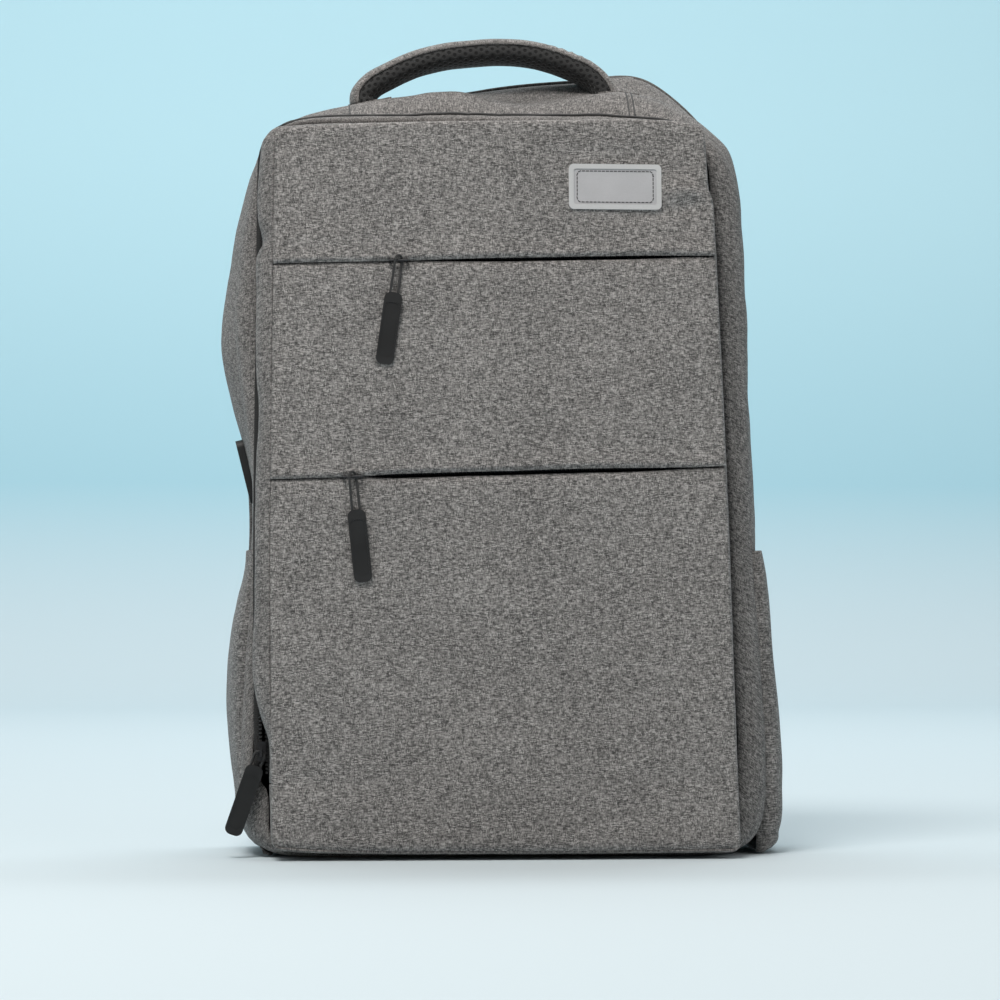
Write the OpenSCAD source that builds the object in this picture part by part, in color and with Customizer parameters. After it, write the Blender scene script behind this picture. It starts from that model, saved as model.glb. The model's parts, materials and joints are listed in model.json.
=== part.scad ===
// Soft laptop backpack: rear half, zipped front section, carry handle, shoulder straps and a side port.
// Millimetres. +X is the viewer's right, -Y the front face, +Z up. Origin on the floor, below the middle of the bag.

/* [Bag] */
// Width of the rear half
bag_width = 320; // [280:1:370]
// Depth at the base, front face to back panel
bag_depth = 140; // [115:1:170]
// Height of the roof ridge
bag_height = 478; // [430:1:540]
// Height of the roof where it meets the front section
rim_height = 452; // [440:1:520]
// Height where the side turns into the sloped top corner
side_height = 425; // [380:1:480]
// Half width of the sloped corner at its lower end
shoulder_half = 150; // [130:1:170]
// Half width of the level part of the roof
ridge_half = 92; // [75:1:110]
// Radius of the bottom corners
base_corner = 22; // [10:1:35]
// Thickness of fabric and lining together
wall = 3; // [2:0.1:4]
// Thickness of the back panel
back_thick = 4; // [3:0.1:6]
// Thickness of the stiffener on the base
board_thick = 2; // [1:0.1:4]
// Distance of the sleeve divider from the back panel
sleeve_gap = 16; // [10:0.5:25]
// Height of the sleeve divider
sleeve_height = 320; // [240:1:380]
// Width of the piping along the back seam
piping_width = 2.5; // [1.5:0.1:4]

/* [Front section] */
// Lean of the front face in degrees
lean = 3.2; // [0:0.1:6]
// Half width of the front panel at the bottom
front_half_low = 141; // [120:1:160]
// Half width of the front panel at the top
front_half_top = 133; // [110:1:150]
// Sideways lean of the front section as a share of its height, top to the left
front_skew = 0.018; // [0:0.001:0.03]
// Height of the front panel along its face
front_height = 441; // [400:1:500]
// Gap between the front panel and the floor
front_lift = 4; // [2:0.5:10]
// Radius of the top corners of the front panel
front_corner = 14; // [8:1:30]
// Depth of the front section
section_depth = 26; // [18:0.5:40]
// Height of the fold line that the front section opens about
fold_height = 42; // [30:1:70]
// Distance of the upper pocket zip above the bottom edge
upper_zip_height = 360.5; // [330:0.5:400]
// Tilt of the upper pocket zip in degrees, right end up
upper_zip_tilt = 1.5; // [0:0.1:3]
// Distance of the lower pocket zip above the bottom edge
lower_zip_height = 229.5; // [190:0.5:260]
// Tilt of the lower pocket zip in degrees, right end up
lower_zip_tilt = 1.8; // [0:0.1:3]
// Width of the slot between two lips
lip_slot = 3.2; // [2.5:0.1:5]

/* [Zips] */
// Thickness of a zip tape
tape_thick = 1.2; // [0.8:0.1:2]
// Width of a zip tape outside its row of teeth
tape_width = 10; // [6:0.5:14]
// Width of one row of teeth
row_width = 2.2; // [1.5:0.1:3]
// Height of a row of teeth
row_thick = 2.8; // [2:0.1:3.5]
// Gap between the two rows
row_gap = 1.4; // [1.2:0.1:2.4]
// Running clearance of a slider
slide_clear = 0.3; // [0.2:0.05:0.4]
// Length of a slider
slider_length = 12; // [9:0.5:16]
// Thickness of a slider plate
slider_plate = 1.1; // [0.8:0.1:1.6]
// Distance of the upper slider to the left of the middle
upper_slider_left = 65; // [0:1:100]
// Distance of the lower slider to the left of the middle
lower_slider_left = 93; // [0:1:100]
// Height of the main slider above the bottom edge
main_slider_height = 62; // [55:1:120]
// Distance of the main zip outside the front panel
main_zip_out = 4; // [4:0.1:7]

/* [Pulls] */
// Length of a pull tab
tab_length = 44; // [35:1:55]
// Width of a pull tab
tab_width = 11; // [8:0.5:14]
// Thickness of a pull tab
tab_thick = 3; // [2:0.1:4]
// Radius of the ends of a pull tab
tab_corner = 4; // [2:0.5:5]
// Width of the raised edge round a pull tab
tab_edge = 1.2; // [0.8:0.1:2]
// Radius of the pull cord
cord_r = 0.8; // [0.6:0.05:1]
// Radius of the bend in the pull cord
cord_bend = 3; // [2.8:0.1:4]
// Free length of the cord above a pocket pull tab
cord_length = 20; // [12:0.5:25]
// Sideways tilt of the upper pull in degrees, lower end to the left
upper_tilt = 8; // [0:1:20]
// Sideways tilt of the lower pull in degrees, lower end to the right
lower_tilt = 6; // [0:1:20]
// Sideways tilt of the main pull in degrees, lower end to the left
main_tilt = 19; // [10:1:30]

/* [Badge] */
// Width of the badge plate
badge_width = 57; // [40:1:70]
// Height of the badge plate
badge_height = 28; // [20:1:40]
// Distance of the badge to the right of the middle
badge_right = 68; // [40:1:90]
// Distance of the badge above the bottom edge
badge_up = 406; // [385:1:420]

/* [Side pockets] */
// Height of the side pockets
pocket_height = 187; // [140:1:230]
// Distance between pocket wall and gusset
pocket_gap = 12; // [8:0.5:25]
// Distance of the pocket front edge behind the middle plane, negative is in front
pocket_front = -24; // [-30:1:0]
// Distance of the pocket rear edge behind the middle plane
pocket_rear = 60; // [40:1:64]
// Height of the elastic hem
hem_height = 10; // [6:0.5:16]

/* [Handle] */
// Half distance between the ends of the handle
handle_half = 88; // [70:1:100]
// Height of the handle above the roof
handle_rise = 38; // [24:1:45]
// Width of the handle, front to back
handle_width = 32; // [24:1:40]
// Thickness of the handle cover
cover_thick = 4; // [2:0.5:6]
// Thickness of the handle padding
mesh_thick = 9; // [5:0.5:12]
// Distance of the handle behind the middle plane
handle_back = 42; // [30:1:50]
// Backward lean of the handle in degrees
handle_lean = 8; // [0:1:15]

/* [Back and straps] */
// Thickness of the back padding
pad_thick = 14; // [8:0.5:20]
// Width of one back pad
pad_width = 100; // [80:1:120]
// Half width of the channel between the back pads
channel_half = 20; // [10:1:30]
// Height of the lower edge of the back pads
pad_low = 140; // [130:1:180]
// Height of the upper edge of the back pads
pad_high = 394; // [340:1:400]
// Height of the lower edge of the band for a trolley handle
band_low = 165; // [150:1:200]
// Height of the upper edge of the band
band_high = 245; // [220:1:260]
// Gap between back pads and band
band_gap = 6; // [5:0.5:12]
// Thickness of band and webbing
web_thick = 1.5; // [1:0.1:2.5]
// Width of a shoulder pad
strap_width = 60; // [50:1:70]
// Thickness of a shoulder pad
strap_thick = 12; // [8:0.5:16]
// Length of a shoulder pad
strap_length = 232; // [200:1:260]
// Height of the upper end of a shoulder pad
strap_top = 448; // [430:1:460]
// Distance of the upper end of a shoulder pad from the middle
strap_top_x = 58; // [45:1:70]
// Distance that a shoulder pad stands off the back
strap_bow = 34; // [28:1:50]
// Sideways splay of the straps in degrees
strap_splay = 11.2; // [5:0.1:14]
// Width of the strap webbing
web_width = 25; // [20:1:30]
// Length of the loose webbing end
tail_length = 40; // [25:1:60]

/* [Side port] */
// Height of the port frame
port_height = 40; // [30:1:50]
// Width of the port frame
port_width = 16; // [14:0.5:22]
// Distance that the port frame stands proud
port_proud = 4.5; // [3:0.1:7]
// Height of the middle of the port
port_up = 237; // [210:1:260]
// Distance of the port behind the middle plane
port_back = 10; // [-5:1:30]
// Lean of the port in degrees, upper end outwards
port_lean = 14; // [0:1:20]
// Depth of the recess that the port frame sits in
port_recess = 5.5; // [0:0.5:10]

/* [Hidden] */
arc_steps = 8;
eps = 0.01;
far = 400;
front_y = -bag_depth / 2;
back_y = bag_depth / 2;
flange_y = section_depth + 4;
seam_gap = 0.5;
groove = main_zip_out * 2;
edge_lean = atan((front_half_low - front_half_top) / (front_height - front_corner) - front_skew);
ridge_y = handle_back - handle_width / 2 - 1;
row_y0 = section_depth + 0.6;
tooth_pitch = 2.4;
hem_in = 5.5;
hem_deep = 3;
zip_row_y = wall + slide_clear + slider_plate + slide_clear;
hem_back = zip_row_y + 2;
plate_half = 4.6;
crown_y = -(cord_bend + cord_r + slide_clear);
crown_r = 0.8;
crown_half = 4.5;
leg_thick = 1.4;
eye_half = 1.8;
main_cord_bend = 3.1;
main_cord_length = 9;
main_plate_far = main_zip_out + 4.5;
crown_out = main_zip_out + 2.6;
eye_deep = 2.6;
pull_press = 2;
badge_rim = 3;
badge_thick = 1.6;
badge_field_thick = 1;
pocket_wall = 2;
web_behind = 0.7;
lock_bar = 4;
lock_window = 7;
lock_side = 4;
port_body = 15;
port_body_half = 6.5;
socket_long = 12.8;
socket_wide = 5.6;
shell_wall = 0.35;
tongue_thick = 1.8;
fit_gap = 0.1;

fabric = [0.49, 0.48, 0.47];
fabric_dark = [0.40, 0.39, 0.38];
lining = [0.22, 0.22, 0.23];
black = [0.10, 0.10, 0.11];
mesh_black = [0.13, 0.13, 0.14];
light_grey = [0.70, 0.71, 0.70];
metal = [0.75, 0.75, 0.76];

function arc(cx, cy, r, a0, a1) =
    [for (i = [0:arc_steps]) [cx + r * cos(a0 + (a1 - a0) * i / arc_steps), cy + r * sin(a0 + (a1 - a0) * i / arc_steps)]];

// Position behind the floor line of the leaning front face, at height z
function plane_y(deep, z) = front_y + (deep + (z - front_lift) * sin(lean)) / cos(lean);

function front_half(z) = front_half_low + (front_half_top - front_half_low) * z / (front_height - front_corner);

function round_box(w, h, r) = concat(
    arc(w / 2 - r, h / 2 - r, r, 0, 90),
    arc(-w / 2 + r, h / 2 - r, r, 90, 180),
    arc(-w / 2 + r, -h / 2 + r, r, 180, 270),
    arc(w / 2 - r, -h / 2 + r, r, 270, 360));

// Outline of the rear half seen from the front, drawn in by g
function bag_outline(g) = concat(
    arc(bag_width / 2 - base_corner, base_corner, base_corner - g, -90, 0),
    [[bag_width / 2 - g, side_height - g * 0.4], [shoulder_half - g * 0.7, rim_height - g - 4],
     [ridge_half - g * 0.3, bag_height - g], [-ridge_half + g * 0.3, bag_height - g],
     [-shoulder_half + g * 0.7, rim_height - g - 4], [-bag_width / 2 + g, side_height - g * 0.4]],
    arc(-bag_width / 2 + base_corner, base_corner, base_corner - g, 180, 270));

// Side profile of the rear half, drawn in by g
function bag_profile(g) = [
    [plane_y(flange_y + g, g), g], [back_y, g], [back_y, bag_height - g], [ridge_y, bag_height - g],
    [plane_y(flange_y + g, rim_height - g), rim_height - g]];

function skewed(list) = [for (p = list) [p[0] - front_skew * p[1], p[1]]];

// Outline of the front section in its own plane, grown by o
function front_outline(o) = skewed(concat(
    [[-front_half_low - o, 0], [front_half_low + o, 0]],
    arc(front_half_top - front_corner, front_height - front_corner, front_corner + o, 0, 90),
    arc(-front_half_top + front_corner, front_height - front_corner, front_corner + o, 90, 180)));

module front_view(depth0, depth1) {
    translate([0, depth1, 0]) rotate([90, 0, 0]) linear_extrude(depth1 - depth0) children();
}

module side_view(x0, x1) {
    translate([x0, 0, 0]) rotate([90, 0, 90]) linear_extrude(x1 - x0) children();
}

module in_front() {
    translate([0, front_y, front_lift]) rotate([-lean, 0, 0]) children();
}

// Slab of the front section, outline grown by o, between two depths and two heights
module front_slab(o, deep0, deep1, z0, z1) {
    intersection() {
        front_view(deep0, deep1) polygon(front_outline(o));
        translate([-far, deep0, z0]) cube([2 * far, deep1 - deep0, z1 - z0]);
    }
}

// Frame whose X runs along a pocket zip that crosses the middle at height z
module on_zip(z, tilt) {
    translate([0, 0, z]) rotate([0, -tilt, 0]) children();
}

// Slab of the front section, outline grown by o, between two distances from the line of a pocket zip
module along_zip(o, deep0, deep1, z, tilt, a, b) {
    intersection() {
        front_view(deep0, deep1) polygon(front_outline(o));
        on_zip(z, tilt) translate([-far, deep0, a]) cube([2 * far, deep1 - deep0, b - a]);
    }
}

module at_left_edge(z) {
    translate([-front_half(z) - front_skew * z, 0, z]) rotate([0, edge_lean, 0]) children();
}

module rod(a, b, r) {
    d = b - a;
    n = norm(d);
    translate(a) rotate([0, acos(d[2] / n), atan2(d[1], d[0])]) cylinder(h = n, r = r, $fn = 48);
}

module bag_block(g) {
    intersection() {
        front_view(-far, far) polygon(bag_outline(g));
        side_view(-far, far) polygon(bag_profile(g));
    }
}

// Fabric shell of the rear half without its back panel
module bag_shell() {
    difference() {
        bag_block(0);
        intersection() {
            bag_block(wall);
            translate([-far, -far, 0]) cube([2 * far, far + back_y - back_thick, far * 2]);
        }
        translate([-far, back_y - back_thick, -1]) cube([2 * far, back_thick + 1, bag_height + 2]);
        in_front() front_slab(groove, flange_y - 1, flange_y + 2 * wall, fold_height, front_height + groove);
    }
}

module shell_part(x0, x1, z0, z1) {
    intersection() {
        bag_shell();
        translate([x0, -far, z0]) cube([x1 - x0, 2 * far, z1 - z0]);
    }
}

module back_panel() {
    color(mesh_black) intersection() {
        bag_block(0);
        translate([-far, back_y - back_thick, 0]) cube([2 * far, back_thick, bag_height]);
    }
}

module gusset_left() {
    color(fabric) difference() {
        shell_part(-far, 0, base_corner, side_height);
        at_port() side_view(-2 * port_recess - wall, 2 * wall)
            polygon(round_box(port_width + 2 * fit_gap, port_height + 2 * fit_gap, 5));
    }
}

module gusset_right() {
    color(fabric) shell_part(0, far, base_corner, side_height);
}

module roof_center() {
    color(fabric) shell_part(-handle_half, handle_half, side_height, bag_height);
}

module roof_left() {
    color(fabric) shell_part(-far, -handle_half, side_height, bag_height);
}

module roof_right() {
    color(fabric) shell_part(handle_half, far, side_height, bag_height);
}

module base_panel() {
    color(fabric_dark) shell_part(-far, far, 0, base_corner);
}

module base_board() {
    board_front = plane_y(flange_y + wall, wall + board_thick);
    color(lining) translate([-bag_width / 2 + base_corner, board_front, wall])
        cube([bag_width - 2 * base_corner, back_y - back_thick - board_front, board_thick]);
}

module front_foot() {
    color(fabric) in_front() difference() {
        front_slab(0, 0, flange_y, 0, fold_height);
        front_slab(-wall, wall, flange_y - wall, wall, fold_height + 1);
    }
}

module main_row(inner, outer, deep0, deep1) {
    difference() {
        front_slab(outer, deep0, deep1, fold_height + seam_gap, front_height + outer);
        front_slab(inner, deep0 - 1, deep1 + 1, fold_height, front_height + inner);
    }
}

module main_zip_outer() {
    near = main_zip_out + row_gap / 2;
    color(black) in_front() {
        main_row(near, near + row_width, row_y0, row_y0 + row_thick);
        main_row(near + row_width - 0.2, groove + wall, flange_y - tape_thick, flange_y);
    }
}

module main_zip_inner() {
    near = main_zip_out - row_gap / 2;
    color(black) in_front() {
        main_row(near - row_width, near, row_y0, row_y0 + row_thick);
        main_row(-wall, near - row_width + 0.2, section_depth, section_depth + tape_thick);
    }
}

module side_pocket() {
    x0 = bag_width / 2;
    x1 = x0 + pocket_gap + pocket_wall;
    color(fabric) translate([x0, pocket_front, base_corner]) difference() {
        cube([x1 - x0, pocket_rear - pocket_front, pocket_height - base_corner]);
        translate([-1, pocket_wall, pocket_wall])
            cube([pocket_gap + 1, pocket_rear - pocket_front - 2 * pocket_wall, pocket_height]);
    }
}

module pocket_hem() {
    x1 = bag_width / 2 + pocket_gap + pocket_wall;
    color(black) translate([x1, pocket_front, pocket_height - hem_height])
        cube([pocket_wall / 2, pocket_rear - pocket_front, hem_height]);
}

module pocket_left() {
    mirror([1, 0, 0]) side_pocket();
}

module pocket_right() {
    side_pocket();
}

module pocket_hem_left() {
    mirror([1, 0, 0]) pocket_hem();
}

module pocket_hem_right() {
    pocket_hem();
}

module back_piping() {
    color(black) intersection() {
        difference() {
            front_view(back_y - back_thick - 1, back_y - 1) polygon(bag_outline(-piping_width));
            front_view(-far, far) polygon(bag_outline(0));
        }
        translate([-far, -far, base_corner]) cube([2 * far, 2 * far, 2 * far]);
    }
}

module back_pad() {
    color(mesh_black) translate([channel_half + pad_width / 2, 0, (pad_low + pad_high) / 2])
        front_view(back_y, back_y + pad_thick) polygon(round_box(pad_width, pad_high - pad_low, 18));
}

module back_pad_left() {
    mirror([1, 0, 0]) back_pad();
}

module back_pad_right() {
    back_pad();
}

module lumbar_pad() {
    lumbar_low = 32;
    lumbar_high = pad_low - 12;
    color(mesh_black) translate([0, 0, (lumbar_low + lumbar_high) / 2])
        front_view(back_y, back_y + pad_thick)
        polygon(round_box(2 * (channel_half + pad_width) - 30, lumbar_high - lumbar_low, 18));
}

module trolley_band() {
    band_half = channel_half + pad_width + 20;
    reach = pad_thick + band_gap + web_thick;
    color(fabric_dark) translate([0, back_y, band_low]) difference() {
        translate([-band_half, 0, 0]) cube([2 * band_half, reach, band_high - band_low]);
        translate([-band_half + wall, -1, -1])
            cube([2 * (band_half - wall), reach - web_thick + 1, band_high - band_low + 2]);
    }
}

module sleeve_divider() {
    color(lining) intersection() {
        bag_block(wall);
        translate([-far, back_y - back_thick - sleeve_gap, wall + board_thick]) cube([2 * far, wall, sleeve_height]);
    }
}

module in_strap() {
    translate([strap_top_x, 0, strap_top]) rotate([0, -strap_splay, 0]) children();
}

strap_steps = 20;
strap_end_y = back_y + strap_thick / 2 + strap_bow * sin(115);
lock_z = -strap_length - lock_bar * 2 - lock_window;

function strap_line(off) = [for (i = [0:strap_steps])
    [back_y + strap_thick / 2 + strap_bow * sin(115 * i / strap_steps) + off, -strap_length * i / strap_steps]];

function flip(list) = [for (i = [len(list) - 1:-1:0]) list[i]];

module strap() {
    loop_top = -strap_length + 3;
    loop_low = -strap_length - lock_bar * 2;
    color(mesh_black) in_strap() {
        side_view(-strap_width / 2, strap_width / 2)
            polygon(concat(strap_line(-strap_thick / 2), flip(strap_line(strap_thick / 2))));
        side_view(-web_width / 2, web_width / 2) difference() {
            translate([strap_end_y - lock_bar / 2 - 2.2, loop_low]) square([lock_bar + 4.4, loop_top - loop_low]);
            translate([strap_end_y - lock_bar / 2 - 0.7, loop_low + web_thick])
                square([lock_bar + 1.4, lock_bar + 1]);
        }
    }
}

// Three-bar lock: top bar in the pad's loop, middle bar in the webbing
module strap_lock() {
    width = web_width + 2 * lock_side + 2;
    height = 3 * lock_bar + 2 * lock_window;
    color(black) in_strap() translate([0, strap_end_y, lock_z]) difference() {
        front_view(-lock_bar / 2, lock_bar / 2) polygon(round_box(width, height, 3));
        for (s = [-1, 1])
            translate([-width / 2 + lock_side, -lock_bar, s * (lock_bar + lock_window) / 2 - lock_window / 2])
                cube([width - 2 * lock_side, 2 * lock_bar, lock_window]);
    }
}

module strap_web() {
    inner = lock_bar / 2 + web_behind;
    outer = inner + web_thick;
    sewn_low = -(strap_top - 46) / cos(strap_splay) - lock_z;
    sewn_y = back_y + wall - strap_end_y;
    turn_low = -lock_bar * 2 - lock_window;
    color(black) in_strap() side_view(-web_width / 2, web_width / 2) translate([strap_end_y, lock_z])
        polygon([[inner, -tail_length], [outer, -tail_length], [outer, outer], [-outer, outer],
            [-outer, turn_low], [sewn_y, sewn_low + 12], [sewn_y, sewn_low], [sewn_y + web_thick, sewn_low],
            [sewn_y + web_thick, sewn_low + 12], [-inner, turn_low], [-inner, inner], [inner, inner]]);
}

module strap_anchor() {
    edge = bag_width / 2 - 2;
    color(fabric_dark) front_view(back_y, back_y + wall)
        polygon([[edge, base_corner], [edge, 84], [edge - 22, 84], [edge - 44, 48], [edge - 32, base_corner]]);
}

module strap_left() {
    mirror([1, 0, 0]) strap();
}

module strap_right() {
    strap();
}

module strap_lock_left() {
    mirror([1, 0, 0]) strap_lock();
}

module strap_lock_right() {
    strap_lock();
}

module strap_web_left() {
    mirror([1, 0, 0]) strap_web();
}

module strap_web_right() {
    strap_web();
}

module strap_anchor_left() {
    mirror([1, 0, 0]) strap_anchor();
}

module strap_anchor_right() {
    strap_anchor();
}

handle_r = (handle_half * handle_half + handle_rise * handle_rise) / (2 * handle_rise);
handle_cz = bag_height + handle_rise - handle_r;
handle_foot = bag_height + 2;

// Part of the handle arch between two radii, narrowed at its feet so that it can tip over
module handle_arch(r0, r1) {
    translate([0, handle_back, handle_foot]) rotate([-handle_lean, 0, 0]) translate([0, -handle_back, -handle_foot])
        intersection() {
            front_view(handle_back - handle_width / 2, handle_back + handle_width / 2) difference() {
                translate([0, handle_cz]) circle(r = r1, $fn = 180);
                translate([0, handle_cz]) circle(r = r0, $fn = 180);
            }
            side_view(-handle_half, handle_half) polygon([
                [handle_back - 1, handle_foot], [handle_back + 1, handle_foot],
                [handle_back + handle_width / 2, handle_foot + 13],
                [handle_back + handle_width / 2, handle_foot + 60],
                [handle_back - handle_width / 2, handle_foot + 60],
                [handle_back - handle_width / 2, handle_foot + 13]]);
        }
}

module handle_cover() {
    color(fabric) handle_arch(handle_r - cover_thick, handle_r);
}

module handle_mesh() {
    color(mesh_black) handle_arch(handle_r - cover_thick - mesh_thick, handle_r - cover_thick);
}

module handle_tab_left() {
    color(fabric) mirror([1, 0, 0]) tab_plate();
}

module handle_tab_right() {
    color(fabric) tab_plate();
}

module tab_plate() {
    translate([ridge_half - 26, handle_back - handle_width / 2, bag_height]) cube([26, handle_width, 1.2]);
}

module at_port() {
    translate([-bag_width / 2 + port_recess, port_back, port_up]) rotate([0, -port_lean, 0]) children();
}

module port_frame() {
    color(black) at_port() difference() {
        union() {
            side_view(-port_proud, 0) polygon(round_box(port_width, port_height, 5));
            translate([-eps, -port_body_half + fit_gap, -socket_long / 2 - 3 + fit_gap])
                cube([port_body, 2 * (port_body_half - fit_gap), socket_long + 6 - 2 * fit_gap]);
        }
        translate([-port_proud - 1, -socket_wide / 2, -socket_long / 2])
            cube([port_proud + port_body - 1, socket_wide, socket_long]);
    }
}

module port_shell() {
    long = socket_long - 2 * fit_gap;
    wide = socket_wide - 2 * fit_gap;
    color(metal) at_port() translate([-port_proud + 0.3, 0, 0]) difference() {
        translate([0, -wide / 2, -long / 2]) cube([port_proud + port_body - 2.3, wide, long]);
        translate([-1, -wide / 2 + shell_wall, -long / 2 + shell_wall])
            cube([port_proud + port_body - 3.3, wide - 2 * shell_wall, long - 2 * shell_wall]);
    }
}

module port_tongue() {
    long = socket_long - 2 * fit_gap - 2 * shell_wall - 0.8;
    depth = port_proud + port_body - 5.3;
    color(black) at_port() translate([-port_proud + 1.3, 0.4, -long / 2]) cube([depth, tongue_thick, long]);
}

// Room above or below a pocket zip, from the edge of a lip on
module beyond_zip(z, tilt, a, b) {
    on_zip(z, tilt) translate([-far, -1, a]) cube([2 * far, wall + 2, b - a]);
}

module panel_low() {
    color(fabric) in_front() difference() {
        front_slab(0, 0, wall, fold_height + seam_gap, upper_zip_height);
        beyond_zip(lower_zip_height, lower_zip_tilt, -lip_slot / 2, far);
    }
}

module panel_mid() {
    color(fabric) in_front() difference() {
        front_slab(0, 0, wall, fold_height + seam_gap, front_height);
        beyond_zip(lower_zip_height, lower_zip_tilt, -far, lip_slot / 2);
        beyond_zip(upper_zip_height, upper_zip_tilt, -lip_slot / 2, far);
    }
}

module panel_top() {
    color(fabric) in_front() difference() {
        front_slab(0, 0, wall, lower_zip_height, front_height);
        beyond_zip(upper_zip_height, upper_zip_tilt, -far, lip_slot / 2);
    }
}

module wrap_ring() {
    difference() {
        front_slab(0, wall, section_depth, fold_height + seam_gap, front_height);
        front_slab(-wall, wall - 1, section_depth + 1, fold_height, front_height - wall);
    }
}

module wrap_left() {
    color(fabric) in_front() intersection() {
        wrap_ring();
        translate([-far, 0, 0]) cube([far, section_depth, front_height - front_corner]);
    }
}

module wrap_right() {
    color(fabric) in_front() intersection() {
        wrap_ring();
        cube([far, section_depth, front_height - front_corner]);
    }
}

module wrap_top() {
    color(fabric) in_front() intersection() {
        wrap_ring();
        translate([-far, 0, front_height - front_corner]) cube([2 * far, section_depth, front_corner]);
    }
}

module front_liner() {
    color(lining) in_front()
        front_slab(-wall, section_depth - wall, section_depth, fold_height + seam_gap, front_height - wall);
}

module pocket_divider() {
    z0 = lower_zip_height + 24;
    color(lining) in_front() front_slab(-wall, wall, section_depth - wall, z0, z0 + 1);
}

// Pocket zip: two rows of teeth, their tapes and the hems that hold them behind the lips
module pocket_zip(z, tilt) {
    near = row_gap / 2;
    tape_y = zip_row_y + 0.8;
    color(black) in_front() {
        along_zip(-wall, zip_row_y, zip_row_y + row_thick, z, tilt, near, near + row_width);
        along_zip(-wall, zip_row_y, zip_row_y + row_thick, z, tilt, -near - row_width, -near);
        along_zip(-wall, tape_y, tape_y + tape_thick, z, tilt, near + row_width - 0.2, near + tape_width);
        along_zip(-wall, tape_y, tape_y + tape_thick, z, tilt, -near - tape_width, -near - row_width + 0.2);
        along_zip(-wall, wall, hem_back, z, tilt, hem_in, hem_in + hem_deep);
        along_zip(-wall, wall, hem_back, z, tilt, -hem_in - hem_deep, -hem_in);
    }
}

module upper_zip() {
    pocket_zip(upper_zip_height, upper_zip_tilt);
}

module lower_zip() {
    pocket_zip(lower_zip_height, lower_zip_tilt);
}

module badge_plate() {
    color(light_grey) in_front() translate([badge_right, 0, badge_up])
        front_view(-badge_field_thick, 0)
        polygon(round_box(badge_width - 2 * badge_rim, badge_height - 2 * badge_rim, 1.5));
}

module badge_rim() {
    color(light_grey) in_front() translate([badge_right, 0, badge_up]) difference() {
        front_view(-badge_thick, 0) polygon(round_box(badge_width, badge_height, 3));
        front_view(-badge_thick - 1, 1)
            polygon(round_box(badge_width - 2 * badge_rim, badge_height - 2 * badge_rim, 1.5));
    }
}

// Slider of a pocket zip: plates behind the lips, post between the rows, crown in front of the slot
module pocket_slider(x, z, zip_tilt) {
    back = zip_row_y + row_thick + slide_clear;
    post = row_gap / 2 - slide_clear;
    color(black) in_front() on_zip(z, zip_tilt) translate([x, 0, 0]) {
        translate([-slider_length / 2, wall + slide_clear, -plate_half])
            cube([slider_length, slider_plate, 2 * plate_half]);
        translate([-slider_length / 2, back, -plate_half]) cube([slider_length, slider_plate, 2 * plate_half]);
        translate([-2, wall + slide_clear, -post]) cube([4, back - wall, 2 * post]);
        for (s = [-1, 1])
            translate([s * (crown_half + leg_thick / 2) - leg_thick / 2, crown_y, -crown_r])
                cube([leg_thick, wall + slide_clear + slider_plate / 2 - crown_y, 2 * crown_r]);
        translate([-crown_half - leg_thick, crown_y, 0]) rotate([0, 90, 0])
            cylinder(h = 2 * (crown_half + leg_thick), r = crown_r, $fn = 48);
    }
}

module upper_slider() {
    pocket_slider(-upper_slider_left, upper_zip_height, upper_zip_tilt);
}

module lower_slider() {
    pocket_slider(-lower_slider_left, lower_zip_height, lower_zip_tilt);
}

module in_pull(x, z, zip_tilt, tilt) {
    in_front() on_zip(z, zip_tilt) translate([x, crown_y, 0]) rotate([pull_press, zip_tilt + tilt, 0]) children();
}

module pocket_cord() {
    side = cord_bend * cos(45);
    rotate([0, 0, 45]) rotate([90, 0, 0]) rotate_extrude(angle = 180, $fn = 96)
        translate([cord_bend, 0]) circle(r = cord_r, $fn = 32);
    for (s = [-1, 1]) {
        translate([s * side, s * side, 0]) sphere(r = cord_r * 1.2, $fn = 48);
        rod([s * side, s * side, 0], [s * (side + 0.3), 0, -cord_length - 4], cord_r);
    }
}

module tab_body() {
    difference() {
        front_view(-tab_thick / 2, tab_thick / 2) polygon(round_box(tab_width, tab_length, tab_corner));
        for (s = [-1, 1])
            translate([0, s * (tab_thick / 2), -1])
                front_view(-0.4, 0.4)
                polygon(round_box(tab_width - 2 * tab_edge, tab_length - 2 * tab_edge - 8, tab_corner - tab_edge));
    }
}

module pocket_pull_cord(x, z, zip_tilt, tilt) {
    color(black) in_pull(x, z, zip_tilt, tilt) pocket_cord();
}

module pocket_pull_tab(x, z, zip_tilt, tilt) {
    color(black) in_pull(x, z, zip_tilt, tilt) difference() {
        translate([0, 0, -cord_length - tab_length / 2]) tab_body();
        pocket_cord();
    }
}

module upper_pull_cord() {
    pocket_pull_cord(-upper_slider_left, upper_zip_height, upper_zip_tilt, upper_tilt);
}

module upper_pull_tab() {
    pocket_pull_tab(-upper_slider_left, upper_zip_height, upper_zip_tilt, upper_tilt);
}

module lower_pull_cord() {
    pocket_pull_cord(-lower_slider_left, lower_zip_height, lower_zip_tilt, -lower_tilt);
}

module lower_pull_tab() {
    pocket_pull_tab(-lower_slider_left, lower_zip_height, lower_zip_tilt, -lower_tilt);
}

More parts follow.
